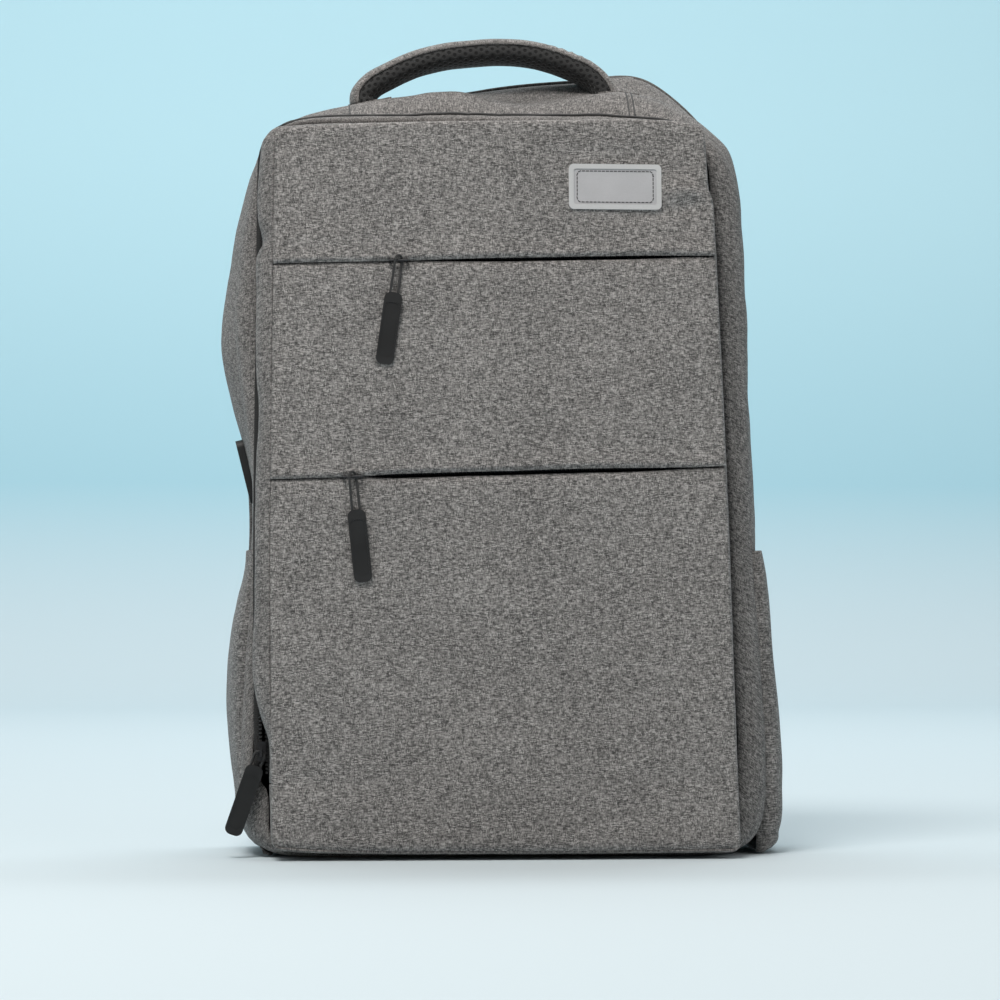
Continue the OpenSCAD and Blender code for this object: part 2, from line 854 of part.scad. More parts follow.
// Main slider: it rides on the outer row only, so that the front section can swing open past it
module main_slider() {
    front_plate = row_y0 - slide_clear - slider_plate;
    rear_plate = row_y0 + row_thick + slide_clear;
    post = row_gap / 2 - slide_clear;
    row_end = main_zip_out + row_gap / 2 + row_width - 0.4;
    color(black) in_front() at_left_edge(main_slider_height) {
        translate([-main_plate_far, front_plate, -slider_length / 2])
            cube([main_plate_far - main_zip_out + post, slider_plate, slider_length]);
        translate([-row_end, rear_plate, -slider_length / 2]) cube([row_end - 1.5, slider_plate, slider_length]);
        translate([-main_zip_out - post, front_plate, -2]) cube([2 * post, rear_plate - front_plate + slider_plate, 4]);
        translate([-crown_out, front_plate - eye_deep, 0]) {
            for (s = [-1, 1])
                translate([-crown_r, -leg_thick, s * (eye_half + leg_thick / 2) - leg_thick / 2])
                    cube([2 * crown_r, eye_deep + leg_thick + slider_plate / 2, leg_thick]);
            translate([-crown_r, -leg_thick, -eye_half - leg_thick])
                cube([2 * crown_r, leg_thick, 2 * (eye_half + leg_thick)]);
        }
    }
}

module in_main_pull() {
    eye_y = row_y0 - slide_clear - slider_plate - eye_deep / 2;
    in_front() at_left_edge(main_slider_height) translate([-crown_out, eye_y, 0]) rotate([lean, main_tilt, 0]) children();
}

module main_cord() {
    translate([0, 0, -main_cord_bend]) rotate([90, 0, 0]) rotate_extrude(angle = 180, $fn = 96)
        translate([main_cord_bend, 0]) circle(r = cord_r, $fn = 32);
    for (s = [-1, 1]) {
        translate([s * main_cord_bend, 0, -main_cord_bend]) sphere(r = cord_r * 1.2, $fn = 48);
        rod([s * main_cord_bend, 0, -main_cord_bend], [s * main_cord_bend, 0, -main_cord_length - 4], cord_r);
    }
}

module main_pull_cord() {
    color(black) in_main_pull() main_cord();
}

module main_pull_tab() {
    color(black) in_main_pull() difference() {
        translate([0, 0, -main_cord_length - tab_length / 2]) tab_body();
        main_cord();
    }
}

back_panel();
gusset_left();
gusset_right();
roof_center();
roof_left();
roof_right();
base_panel();
base_board();
front_foot();
main_zip_outer();
pocket_left();
pocket_right();
pocket_hem_left();
pocket_hem_right();
back_piping();
back_pad_left();
back_pad_right();
lumbar_pad();
trolley_band();
sleeve_divider();
strap_left();
strap_right();
strap_lock_left();
strap_lock_right();
strap_web_left();
strap_web_right();
strap_anchor_left();
strap_anchor_right();
handle_tab_left();
handle_tab_right();
port_frame();
port_shell();
port_tongue();
handle_cover();
handle_mesh();
panel_top();
panel_mid();
panel_low();
wrap_left();
wrap_right();
wrap_top();
front_liner();
pocket_divider();
upper_zip();
lower_zip();
main_zip_inner();
badge_plate();
badge_rim();
upper_slider();
upper_pull_cord();
upper_pull_tab();
lower_slider();
lower_pull_cord();
lower_pull_tab();
main_slider();
main_pull_cord();
main_pull_tab();
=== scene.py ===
"""Looks of the laptop backpack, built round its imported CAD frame.

Helpers take millimetres and degrees unless they say metres; every mesh ends up in metres.
x runs to the viewer's right, y to the back and z up.
"""
import json
from functools import partialmethod
from math import cos, pi, radians, sin, tan

import bmesh
import bpy
import numpy as np
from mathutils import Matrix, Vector, noise
from numpy import linspace

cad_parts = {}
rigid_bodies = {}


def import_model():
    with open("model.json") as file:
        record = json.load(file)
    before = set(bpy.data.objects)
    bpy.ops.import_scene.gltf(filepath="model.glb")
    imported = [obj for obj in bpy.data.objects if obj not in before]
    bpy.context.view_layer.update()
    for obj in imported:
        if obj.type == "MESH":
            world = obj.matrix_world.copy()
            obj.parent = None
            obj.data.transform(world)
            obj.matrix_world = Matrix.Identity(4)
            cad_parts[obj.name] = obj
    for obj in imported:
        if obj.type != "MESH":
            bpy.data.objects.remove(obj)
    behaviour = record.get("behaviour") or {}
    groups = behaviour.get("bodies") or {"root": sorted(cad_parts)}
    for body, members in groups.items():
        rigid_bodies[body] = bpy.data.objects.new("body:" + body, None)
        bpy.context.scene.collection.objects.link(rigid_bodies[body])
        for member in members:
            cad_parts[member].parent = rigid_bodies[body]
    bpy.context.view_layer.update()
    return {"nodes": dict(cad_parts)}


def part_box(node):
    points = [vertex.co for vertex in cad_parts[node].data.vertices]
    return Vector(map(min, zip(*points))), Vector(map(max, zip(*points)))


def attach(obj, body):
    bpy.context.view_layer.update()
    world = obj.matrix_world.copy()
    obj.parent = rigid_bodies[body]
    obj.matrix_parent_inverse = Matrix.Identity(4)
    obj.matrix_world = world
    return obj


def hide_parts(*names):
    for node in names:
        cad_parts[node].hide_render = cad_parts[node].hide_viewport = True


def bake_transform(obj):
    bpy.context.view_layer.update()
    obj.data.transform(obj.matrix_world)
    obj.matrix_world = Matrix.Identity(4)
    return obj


scene = bpy.context.scene
for old in list(bpy.data.objects):
    bpy.data.objects.remove(old)
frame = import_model()
NODES = frame["nodes"]

# ---- sizes shared with the CAD
MM = 0.001
SHELL = "shell_fabric"  # slot of the outer cloth
FRONT = "front_section"  # body that opens about the fold
LEAN = radians(3.2)  # the front leans back
SKEW = 0.018  # its upright lines drift to the viewer's left as they rise
FRONT_Y, LIFT = -70.0, 4.0  # foot of the face
FACE_H = 441.0
FOLD_LOW, FOLD_MID, FOLD_HIGH = 42.2, 42.5, 42.8  # heights along the face where it bends open
ZIP_D, POCKET_ZIP_D = 28.0, 6.1  # depths of the zips' coils behind the face
BACK_Y = 70.2  # outer side of the back panel
HANDLE_Y = 42  # middle of the handle
POCKET_FLOOR_H = 253.5  # wall between the two front pockets
UP_H, UP_T = 360.5, radians(1.5)  # upper pocket zip: height at x = 0, and its tilt
LO_H, LO_T = 229.5, radians(1.8)  # lower pocket zip


def curve(t, pts):
    """Smooth curve through (t, value) points."""
    pts = np.array(pts, float)
    x, y = pts[:, 0], pts[:, 1]
    t = np.clip(np.asarray(t, float), x[0], x[-1])
    m = np.gradient(y, x)
    i = np.clip(np.searchsorted(x, t, side="right") - 1, 0, len(x) - 2)
    h = x[i + 1] - x[i]
    s = (t - x[i]) / h
    return ((2 * s**3 - 3 * s**2 + 1) * y[i] + (s**3 - 2 * s**2 + s) * h * m[i]
            + (3 * s**2 - 2 * s**3) * y[i + 1] + (s**3 - s**2) * h * m[i + 1])


def bell(x, c, w):
    return np.exp(-(((np.asarray(x, float) - c) / w) ** 2))


def ease(x, a, b):
    s = np.clip((np.asarray(x, float) - a) / (b - a), 0, 1)
    return s * s * (3 - 2 * s)


def soft(a, b, sa, sb, seed=0.0):
    """Smooth noise over two coordinates, with wavelengths sa and sb."""
    a, b = np.broadcast_arrays(np.asarray(a, float), np.asarray(b, float))
    flat = [noise.noise(Vector((p / sa, q / sb, seed))) for p, q in zip(a.ravel(), b.ravel())]
    return np.array(flat).reshape(a.shape)


def F(x, d, h):
    """Front section frame to world, in metres: x sideways, d behind the face, h along the face."""
    x, d, h = np.broadcast_arrays(*(np.asarray(k, float) for k in (x, d, h)))
    y = FRONT_Y + d * cos(LEAN) + h * sin(LEAN)
    z = LIFT - d * sin(LEAN) + h * cos(LEAN)
    return np.stack([x, y, z], -1) * MM


def half_left(h):
    """Distance from the middle of the face to its left edge."""
    return curve(h, [(0, 140.9), (92, 140.4), (183, 139.4), (275, 137.2), (340, 135.2), (400, 133.9),
                     (441, 132.2)])


def half_right(h):
    w = curve(h, [(0, 141.6), (92, 140.7), (183, 140), (275, 138.8), (340, 137.5), (400, 136), (441, 134.4)])
    return w - 2.6 * ease(h, 396, 408)


def crossing(h0, tilt, x):
    """Height along the face of a pocket zip at x."""
    return h0 + np.asarray(x, float) * tan(tilt)


# ---- mesh helpers
def unit(v):
    return v / np.linalg.norm(v, axis=-1, keepdims=True)


def run_along(path):
    """Running length along a line of points."""
    return np.concatenate([[0], np.cumsum(np.linalg.norm(np.diff(path, axis=0), axis=1))])


def new_object(name, verts, faces, uv):
    me = bpy.data.meshes.new(name)
    me.from_pydata([tuple(v) for v in np.asarray(verts, float)], [], [tuple(int(i) for i in f) for f in faces])
    layer = me.uv_layers.new(name="UVMap")
    idx = np.zeros(len(me.loops), np.int64)
    me.loops.foreach_get("vertex_index", idx)
    layer.data.foreach_set("uv", np.asarray(uv, np.float32)[idx].ravel())
    me.polygons.foreach_set("use_smooth", [True] * len(me.polygons))
    me.update()
    ob = bpy.data.objects.new(name, me)
    scene.collection.objects.link(ob)
    return ob


def lengths(P, axis):
    """Running length in metres along one axis of a grid, averaged over the other."""
    d = np.linalg.norm(np.diff(P, axis=axis), axis=-1).mean(axis=1 - axis)
    return np.concatenate([[0], np.cumsum(d)])


def grid(name, P, uv=None, flip=False, close_v=False):
    """Quad mesh from P[i, j], with uv[i, j] in metres; close_v joins the last column to the first."""
    nu, nv = P.shape[:2]
    if uv is None:
        uv = np.stack(np.broadcast_arrays(lengths(P, 1)[None, :], lengths(P, 0)[:, None]), -1)
    faces = []
    for i in range(nu - 1):
        for j in range(nv if close_v else nv - 1):
            k = (j + 1) % nv
            q = (i * nv + j, i * nv + k, (i + 1) * nv + k, (i + 1) * nv + j)
            faces.append(q[::-1] if flip else q)
    return new_object(name, P.reshape(-1, 3), faces, uv.reshape(-1, 2))


def thick(ob, mm, offset=-1.0, inner=0):
    """Gives a sheet its thickness; inner is how much higher the other side's material number is."""
    m = ob.modifiers.new("thickness", "SOLIDIFY")
    m.thickness = mm * MM
    m.offset = offset
    m.material_offset = inner
    return ob


def paint(ob, *mats):
    ob.data.materials.clear()
    for m in mats:
        ob.data.materials.append(m)


def put(ob, body, slot, mats, *nodes):
    """Paints a piece, hides the CAD nodes it stands for and hangs it on the body it rides on."""
    paint(ob, *(mats if isinstance(mats, list) else [mats]))
    if nodes:
        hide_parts(*nodes)
    if body:
        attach(ob, body)
    return ob


def edit(ob, *changes):
    """Runs each change on the piece's bmesh."""
    bm = bmesh.new()
    bm.from_mesh(ob.data)
    for change in changes:
        change(bm)
    bm.to_mesh(ob.data)
    bm.free()


def fill_holes(longest=1.0):
    """A change that closes holes whose edges are shorter than this, in metres."""
    def change(bm):
        edges = [e for e in bm.edges if e.is_boundary and e.calc_length() < longest]
        bmesh.ops.holes_fill(bm, edges=edges, sides=0)
    return change


def flip_where(test):
    """A change that turns round the faces whose normal passes the test."""
    def change(bm):
        for f in bm.faces:
            if test(f.normal):
                f.normal_flip()
    return change


def outwards(bm):
    bmesh.ops.recalc_face_normals(bm, faces=bm.faces)


def to_back(bm):
    """Turns a sheet's faces to the back."""
    outwards(bm)
    if sum(f.normal.y * f.calc_area() for f in bm.faces) < 0:
        bmesh.ops.reverse_faces(bm, faces=bm.faces)


def join(name, parts):
    """Joins (vertices, faces, uv) triples into one object."""
    vs, fs, us, base = [], [], [], 0
    for v, f, u in parts:
        v = np.asarray(v, float).reshape(-1, 3)
        vs.append(v)
        us.append(np.zeros((len(v), 2)) if u is None else u)
        fs.extend([tuple(base + i for i in face) for face in f])
        base += len(v)
    return new_object(name, np.concatenate(vs), fs, np.concatenate(us))


def skin(P, across, run):
    """(vertices, faces, uv) of a row of closed rings P[i, j], capped at both ends."""
    n, k = P.shape[:2]
    faces = [(i * k + j, i * k + (j + 1) % k, (i + 1) * k + (j + 1) % k, (i + 1) * k + j)
             for i in range(n - 1) for j in range(k)]
    faces += [tuple(range(k))[::-1], tuple((n - 1) * k + j for j in range(k))]
    uv = np.stack(np.broadcast_arrays(across[None, :], run[:, None]), -1)
    return P.reshape(-1, 3), faces, uv.reshape(-1, 2)


def ribbon(path, side, up, width, t):
    """A flat strip with rounded edges along a path: side and up are unit vectors at each point."""
    ring = []
    for s in (1, -1):
        for a in linspace(90 * s, -90 * s, 5):
            c, k = cos(radians(a)), sin(radians(a))
            ring.append((s * (width / 2 - t / 2) + t / 2 * c * s, t / 2 * k))
    ring = np.array(ring) * MM
    P = path[:, None, :] + ring[None, :, :1] * side[:, None, :] + ring[None, :, 1:] * up[:, None, :]
    return skin(P, ring[:, 0], run_along(path))


def tube(path, r, k=10):
    """A round tube along a path in metres, r in millimetres."""
    path = np.asarray(path, float)
    ahead = unit(np.gradient(path, axis=0))
    ref = np.array([0.0, 1.0, 0.0] if abs(ahead[:, 1]).mean() < 0.8 else [1.0, 0.0, 0.0])
    a = unit(np.cross(ahead, ref))[:, None]
    b = np.cross(ahead, a[:, 0])[:, None]
    th = linspace(0, 2 * pi, k, endpoint=False)
    P = path[:, None] + r * MM * (np.cos(th)[None, :, None] * a + np.sin(th)[None, :, None] * b)
    return skin(P, th * r * MM, run_along(path))


# ---- materials
class Graph:
    """A node material in the making."""

    def __init__(self, name):
        self.mat = bpy.data.materials.new(name)
        self.mat.use_nodes = True
        self.tree = self.mat.node_tree
        self.tree.nodes.clear()
        self.out = self.tree.nodes.new("ShaderNodeOutputMaterial")
        self.bsdf = self.tree.nodes.new("ShaderNodeBsdfPrincipled")
        self.tree.links.new(self.bsdf.outputs[0], self.out.inputs["Surface"])

    def set(self, node, key, val):
        socket = node.inputs[key]
        if isinstance(val, bpy.types.NodeSocket):
            self.tree.links.new(val, socket)
        else:
            socket.default_value = val

    def node(self, kind, ins=None, **props):
        n = self.tree.nodes.new("ShaderNode" + kind)
        for k, v in props.items():
            setattr(n, k, v)
        for k, v in (ins or {}).items():
            self.set(n, k, v)
        return n

    def calc(self, op, a, b=0.0, c=0.0, clamp=False):
        return self.node("Math", {0: a, 1: b, 2: c}, operation=op, use_clamp=clamp).outputs[0]

    add = partialmethod(calc, "ADD")
    sub = partialmethod(calc, "SUBTRACT")
    mul = partialmethod(calc, "MULTIPLY")
    div = partialmethod(calc, "DIVIDE")
    fold = partialmethod(calc, "PINGPONG")
    mul_add = partialmethod(calc, "MULTIPLY_ADD")

    def noise(self, vec, scale, detail=2.0, rough=0.5, dims="3D"):
        n = self.node("TexNoise", {"Vector": vec, "Scale": scale, "Detail": detail, "Roughness": rough},
                      noise_dimensions=dims)
        return n.outputs[0]

    def ramp(self, fac, stops):
        """Colour ramp; each stop is (position, colour or grey)."""
        n = self.node("ValToRGB", {0: fac})
        e = n.color_ramp.elements
        while len(e) < len(stops):
            e.new(0.5)
        for el, (pos, col) in zip(e, stops):
            el.position = pos
            el.color = (*col, 1) if hasattr(col, "__len__") else (col, col, col, 1)
        return n.outputs[0]

    def smooth(self, val, a, b, top=1.0, kind="SMOOTHSTEP"):
        """0 to top as val goes from a to b."""
        n = self.node("MapRange", {0: val, 1: a, 2: b, 3: 0.0, 4: top}, interpolation_type=kind)
        return n.outputs[0]

    def tinted(self, colour, tint):
        n = self.node("Mix", {0: 1.0, 6: colour, 7: (*tint, 1)}, data_type="RGBA", blend_type="MULTIPLY")
        return n.outputs[2]

    def coords(self, axes="uv"):
        """Two coordinates in metres: the cloth's own, or x and z at rest where a piece has none."""
        kind, second = ("UV", 1) if axes == "uv" else ("Object", 2)
        s = self.node("SeparateXYZ", {0: self.node("TexCoord").outputs[kind]})
        return s.outputs[0], s.outputs[second]

    def pair(self, a, b, c=0.0):
        return self.node("CombineXYZ", {0: a, 1: b, 2: c}).outputs[0]

    def bump(self, height, strength, dist):
        n = self.node("Bump", {"Height": height, "Strength": strength, "Distance": dist})
        self.tree.links.new(n.outputs[0], self.bsdf.inputs["Normal"])

    def surface(self, **ins):
        for k, v in ins.items():
            self.set(self.bsdf, k.replace("_", " "), v)
        return self.mat


def heather(name, dark, light, shade):
    """Two-tone plain-woven polyester: each thread has its own light and dark stretches."""
    pitch, tint = 0.00058, (1.0, 0.955, 0.925)
    g = Graph(name)
    u, v = g.coords()
    rows, cols = g.div(v, pitch), g.div(u, pitch)
    row, col = g.calc("FLOOR", rows), g.calc("FLOOR", cols)

    def threads(a, a_scale, b, b_scale):
        return g.noise(g.pair(g.mul(a, a_scale), g.mul(b, b_scale)), 1.0, 2.0, 0.6, "2D")
    weft, warp = threads(u, 270.0, row, 7.31), threads(v, 320.0, col, 5.17)
    streak = threads(u, 240.0, v, 1500.0)
    over = g.fold(g.add(row, col), 1.0)
    grain = g.noise(g.pair(g.mul(col, 3.7), g.mul(row, 2.9), 9.0), 1.0, 0.0, 0.5, "2D")
    patch = g.sub(g.noise(g.pair(u, v, 2.0), 22.0, 3.0, 0.5), 0.5)
    tone = g.mul(weft, 0.42)
    for part, share in ((warp, 0.30), (streak, 0.12), (grain, 0.16), (patch, 0.05)):
        tone = g.add(tone, g.mul(part, share))
    low = tuple(a * 0.72 + b * 0.28 for a, b in zip(dark, light))
    high = tuple(a * 0.6 + b * 0.4 for a, b in zip(low, light))
    colour = g.ramp(tone, [(0.38, dark), (0.48, low), (0.55, high), (0.64, light)])
    lu, lv = g.fold(rows, 0.5), g.fold(cols, 0.5)
    relief = g.add(g.mul(lu, over), g.mul(lv, g.sub(1.0, over)))
    g.bump(g.add(relief, g.mul(tone, 1.2)), 0.55, 0.00028)
    colour = g.tinted(colour, [shade * t for t in tint])
    return g.surface(Base_Color=colour, Roughness=g.mul_add(tone, 0.25, 0.72), Sheen_Weight=0.12,
                     Sheen_Roughness=0.6)


def mesh_cloth(name, axes="xz", cell=0.0042, base=0.012, top=0.055):
    """Spacer mesh: round open cells between soft ribs, in staggered rows."""
    g = Graph(name)
    a, b = g.coords(axes)
    r = g.div(b, cell * 0.866)
    row = g.calc("FLOOR", r)
    odd = g.fold(row, 1.0)
    c = g.add(g.div(a, cell), g.mul(odd, 0.5))
    x = g.sub(g.calc("FRACT", c), 0.5)
    y = g.mul(g.sub(g.calc("FRACT", r), 0.5), 0.866)
    d = g.calc("SQRT", g.add(g.mul(x, x), g.mul(y, y)))
    wall = g.smooth(d, 0.2, 0.36)
    fuzz = g.noise(g.pair(a, b), 2600.0, 2.0, 0.6)
    tone = g.mul(wall, g.mul_add(fuzz, 0.7, 0.6))
    # darker in the open cells and lighter on the rib tops: the backing seen through the cells, with painted
    # shade in them
    colour = g.ramp(tone, [(0.0, base * 0.35), (0.35, base), (1.0, top)])
    g.bump(g.add(wall, g.mul(fuzz, 0.12)), 0.8, 0.0009)
    return g.surface(Base_Color=colour, Roughness=g.mul_add(wall, -0.15, 0.85), Sheen_Weight=0.2)


def webbing(name, base, light, pitch=0.0021):
    """Ribbed woven tape, its ribs across the length."""
    g = Graph(name)
    u, v = g.coords()
    rib = g.fold(g.div(v, pitch), 0.5)
    cross = g.fold(g.add(g.div(u, pitch * 0.9), g.div(v, pitch)), 0.5)
    fuzz = g.noise(g.pair(u, v), 1800.0, 3.0, 0.6)
    h = g.add(g.mul(rib, 1.2), g.mul(cross, 0.8))
    tone = g.mul(g.add(h, 0.15), g.mul_add(fuzz, 0.8, 0.5))
    g.bump(h, 0.6, 0.0004)
    return g.surface(Base_Color=g.ramp(tone, [(0.0, base * 0.5), (0.4, base), (1.0, light)]),
                     Roughness=g.mul_add(fuzz, 0.2, 0.62), Sheen_Weight=0.1)


def plain_cloth(name, dark, light, scale=1500.0, axes="uv"):
    """Fine lining or thread with a diagonal twill."""
    g = Graph(name)
    u, v = g.coords(axes)
    tw = g.fold(g.mul(g.add(u, v), scale), 0.5)
    slant = g.sub(u, g.mul(v, 0.4))
    cr = g.fold(g.mul(slant, scale * 0.7), 0.5)
    fuzz = g.noise(g.pair(u, v), 900.0, 3.0, 0.6)
    t = g.mul_add(fuzz, 0.5, g.mul(g.add(tw, cr), 0.5))
    g.bump(t, 0.35, 0.0002)
    return g.surface(Base_Color=g.ramp(t, [(0.15, dark), (0.8, light)]),
                     Roughness=g.mul_add(fuzz, 0.2, 0.6), Sheen_Weight=0.15)


def moulded(name, dark, light, rough, grain, depth, spec=0.5, metal=0.0, edge_highlight=0.0):
    """Moulded rubber, plastic or painted metal with fine grain and slightly varied gloss."""
    g = Graph(name)
    pos = g.node("TexCoord").outputs["Object"]
    fine = g.noise(pos, grain, 3.0, 0.6)
    broad = g.noise(pos, 60.0, 3.0, 0.5)
    tone = g.mul_add(fine, 0.45, g.mul(broad, 0.55))
    # painted highlight: sharp outer edges made lighter through pointiness
    if edge_highlight:
        edge = g.smooth(g.node("NewGeometry").outputs["Pointiness"], 0.5, 0.58, edge_highlight, "LINEAR")
        tone = g.add(tone, edge, clamp=True)
    g.bump(g.add(fine, g.mul(broad, 0.3)), 0.35, depth)
    return g.surface(Base_Color=g.ramp(tone, [(0.25, dark), (0.75, light)]), Metallic=metal,
                     Roughness=g.mul_add(tone, 0.22, rough - 0.1), Specular_IOR_Level=spec)


M_FACE = heather("heather_face", (0.044, 0.0435, 0.043), (0.52, 0.515, 0.51), 0.87)
# a darker copy of the face cloth: painted shade on the turned wraps, gussets, roof, pockets, handle tabs and
# back panel
M_SHADED_SIDE = heather("heather_side_painted_shade", (0.039, 0.0385, 0.038), (0.46, 0.455, 0.45), 0.82)
M_BASE = heather("heather_base", (0.035, 0.034, 0.034), (0.27, 0.265, 0.26), 0.85)
M_LINE = plain_cloth("lining_cloth", (0.012, 0.012, 0.013), (0.055, 0.055, 0.06))
M_MESH = mesh_cloth("air_mesh_xz")
M_MESH_UV = mesh_cloth("air_mesh_handle", "uv", 0.0040, 0.006, 0.017)
M_WEB = webbing("black_webbing", 0.012, 0.05)
M_TAPE = webbing("zip_tape", 0.008, 0.03, 0.0011)
M_TEETH = moulded("zip_coil", 0.006, 0.03, 0.42, 2500, 0.00005)
M_RUB = moulded("black_rubber", (0.004, 0.004, 0.0042), (0.011, 0.011, 0.0115), 0.5, 1500, 0.00006, 0.45,
                edge_highlight=0.12)
M_PLA = moulded("black_plastic", (0.01, 0.01, 0.0105), (0.024, 0.024, 0.025), 0.42, 1100, 0.00008, edge_highlight=0.15)
M_SLI = moulded("black_slider", (0.008, 0.008, 0.009), (0.028, 0.028, 0.03), 0.34, 700, 0.00004, 0.6, 0.5, 0.3)
M_STL = moulded("steel_shell", (0.42, 0.42, 0.43), (0.62, 0.62, 0.63), 0.32, 900, 0.00003, metal=1.0)
M_CORD = plain_cloth("pull_cord_braid", 0.006, 0.035, 900, "xz")
M_BADGE = moulded("badge_field", (0.40, 0.395, 0.405), (0.47, 0.465, 0.475), 0.62, 1200, 0.0001, 0.4)
M_RIM = moulded("badge_rim_grey", 0.47, 0.55, 0.55, 1200, 0.00006, 0.4)
# dark thread for the seams and stitches, also used for the roof cord that paints the shadow line behind the
# face's top edge
M_THREAD_AND_SHADOW_LINE = plain_cloth("dark_thread_and_painted_shadow_line", 0.02, 0.06, 3000)


# ---- front section: the cloth face
def top_face(x):
    """Height of the face's upper edge."""
    return curve(x, [(-134, 440.6), (-110, 442.8), (-54, 445.5), (44, 448), (94, 449), (120, 447.4),
                     (134, 443.6)])


def bottom_edge(x):
    return curve(x, [(-142, 3.2), (-120, 1.4), (-80, 0.4), (0, 0), (142, 0.2)])


def slack(X, h):
    """Forward bulge of the stuffed face, its slack and the fold beside the badge; positive is forward."""
    s = np.clip((X + half_left(h)) / (half_left(h) + half_right(h)), 0, 1)
    out = 1.8 * (4 * s * (1 - s)) ** 0.7
    out = out + 1.5 * soft(X, h, 75, 110, 3.0) + 0.5 * soft(X, h, 26, 38, 8.0) + 0.22 * soft(X, h, 9, 12, 5.0)
    line = 391 + 0.11 * (X - 60)
    out = out + ease(X, 15, 118) * (2.3 * bell(h, line + 7, 5.5) - 2.0 * bell(h, line - 4, 5.5))
    beside = X - 96
    out = out + ease(X, 96, 132) * (1.3 * bell(h, 418 - 0.5 * beside, 5)
                                    - 1.2 * bell(h, 376 + 0.25 * beside, 6))
    out = out + ease(-X, 40, 125) * (0.9 * bell(h, 377 + 0.05 * X, 6) - 0.8 * bell(h, 367, 5))
    out = out + 0.8 * bell(h, 24, 9) * bell(X, -95, 50) - 0.7 * bell(h, 43, 6) * ease(np.abs(X), 50, 130)
    badge = ease(X, 24, 38) * (1 - ease(X, 98, 112)) * ease(h, 384, 394) * (1 - ease(h, 424, 434))
    return out * (1 - 0.88 * badge)


EDGE = (0, 0.12, 0.45, 1.0, 1.8, 3.0, 5.0, 8.0)  # columns of vertices in from the left and right edges


def edge_roll(e, r=3.0):
    """Depth of an edge rounded with radius r, at distance e in from it."""
    k = np.clip((r - e) / r, 0, 1)
    return r * (1 - np.sqrt(np.maximum(1 - k * k, 0)))


def face_panel(name, low, high, low_rows, high_rows, round_top=0.0, round_low=0.0):
    """Cloth panel of the face between two height curves; *_rows are (distance in, depth) at its borders."""
    n_in = int((high(np.zeros(1))[0] - low(np.zeros(1))[0]) / 3.2)
    a, b = low_rows[-1][0], high_rows[-1][0]
    rows = [("low", d, z) for d, z in low_rows]
    rows += [("mid", t, 0) for t in linspace(0, 1, n_in)[1:-1]]
    rows += [("high", d, z) for d, z in high_rows[::-1]]
    e0, outer = EDGE[-1], len(EDGE) - 1
    inner = np.concatenate([np.zeros(outer), linspace(0, 1, 84), np.ones(outer)])
    X = np.zeros((len(rows), len(inner)))
    H, D = np.zeros_like(X), np.zeros_like(X)
    for i, (kind, t, depth) in enumerate(rows):
        x = linspace(-135, 135, len(inner))
        for _ in range(3):
            lo, hi = low(x), high(x)
            h = lo + t if kind == "low" else hi - t if kind == "high" else lo + a + (hi - b - lo - a) * t
            left, right = -half_left(h), half_right(h)
            for r, gap in ((round_top, hi - h), (round_low, h - lo)):
                if r:
                    cut = edge_roll(np.maximum(gap, 0), r)
                    left, right = left + cut, right - cut
            x = left + e0 + (right - left - 2 * e0) * inner
            for k, off in enumerate(EDGE[:-1]):
                x[k] = left[k] + off
                x[-1 - k] = right[-1 - k] - off
        e = np.minimum(x - left, right - x)
        held = 0.35 if kind != "mid" and t < 1.5 else 1
        D[i] = depth + edge_roll(e) - slack(x, h) * ease(e, 0, 14) * held
        X[i], H[i] = x, h
    return grid(name, F(X - SKEW * H, D, H), np.stack([X * MM, H * MM], -1))


def gap_upper(x):
    return 0.12 + 0.9 * ease(x, -62, 10) * (1 - 0.8 * ease(x, 85, 128))


def gap_lower(x):
    return 0.12 + 1.1 * ease(x, -88, -60) * (1 - 0.8 * ease(x, 70, 125))


# (distance in from the border, depth behind the face): lip over a zip, lip under it, top and foot
OVER = [(1.6, 4.4), (0.7, 3.5), (0.15, 2.3), (0.0, 1.0), (0.2, -0.1), (0.8, -0.9), (1.9, -1.25), (3.6, -1.1),
        (6.5, -0.6), (11, -0.2)]
UNDER = [(1.6, 4.5), (0.6, 3.7), (0.05, 2.8), (0.0, 2.0), (0.4, 1.3), (1.2, 0.95), (2.6, 0.7), (5, 0.45),
         (9, 0.2)]
TOP_ROLL = [(0.0, 4.2), (0.0, 3.4), (0.14, 2.5), (0.5, 1.6), (1.1, 0.8), (2.0, 0.25), (3.4, 0.0), (6, 0.0)]
LOW_ROLL = [(0.0, 9.0), (0.0, 7.0), (0.35, 4.9), (1.1, 3.2), (2.3, 1.7), (3.9, 0.7), (6.2, 0.1), (9, 0)]


def up_line(x):
    return crossing(UP_H, UP_T, x) + 0.5 * soft(x, 0, 60, 1, 2.0)


def low_line(x):
    return crossing(LO_H, LO_T, x) + 0.5 * soft(x, 0, 60, 1, 6.0)


face_top = face_panel("face_top", lambda x: up_line(x) + gap_upper(x), top_face, OVER, TOP_ROLL, round_top=4)
face_mid = face_panel("face_mid", lambda x: low_line(x) + gap_lower(x), lambda x: up_line(x) - gap_upper(x),
                      OVER, UNDER)
face_low = face_panel("face_low", bottom_edge, lambda x: low_line(x) - gap_lower(x), LOW_ROLL, UNDER,
                      round_low=5)
thick(put(face_top, FRONT, SHELL, M_FACE, "panel_top"), 1.1)
thick(put(face_mid, FRONT, SHELL, M_FACE, "panel_mid"), 1.1)
thick(put(face_low, None, SHELL, M_FACE, "panel_low", "front_foot"), 1.1)


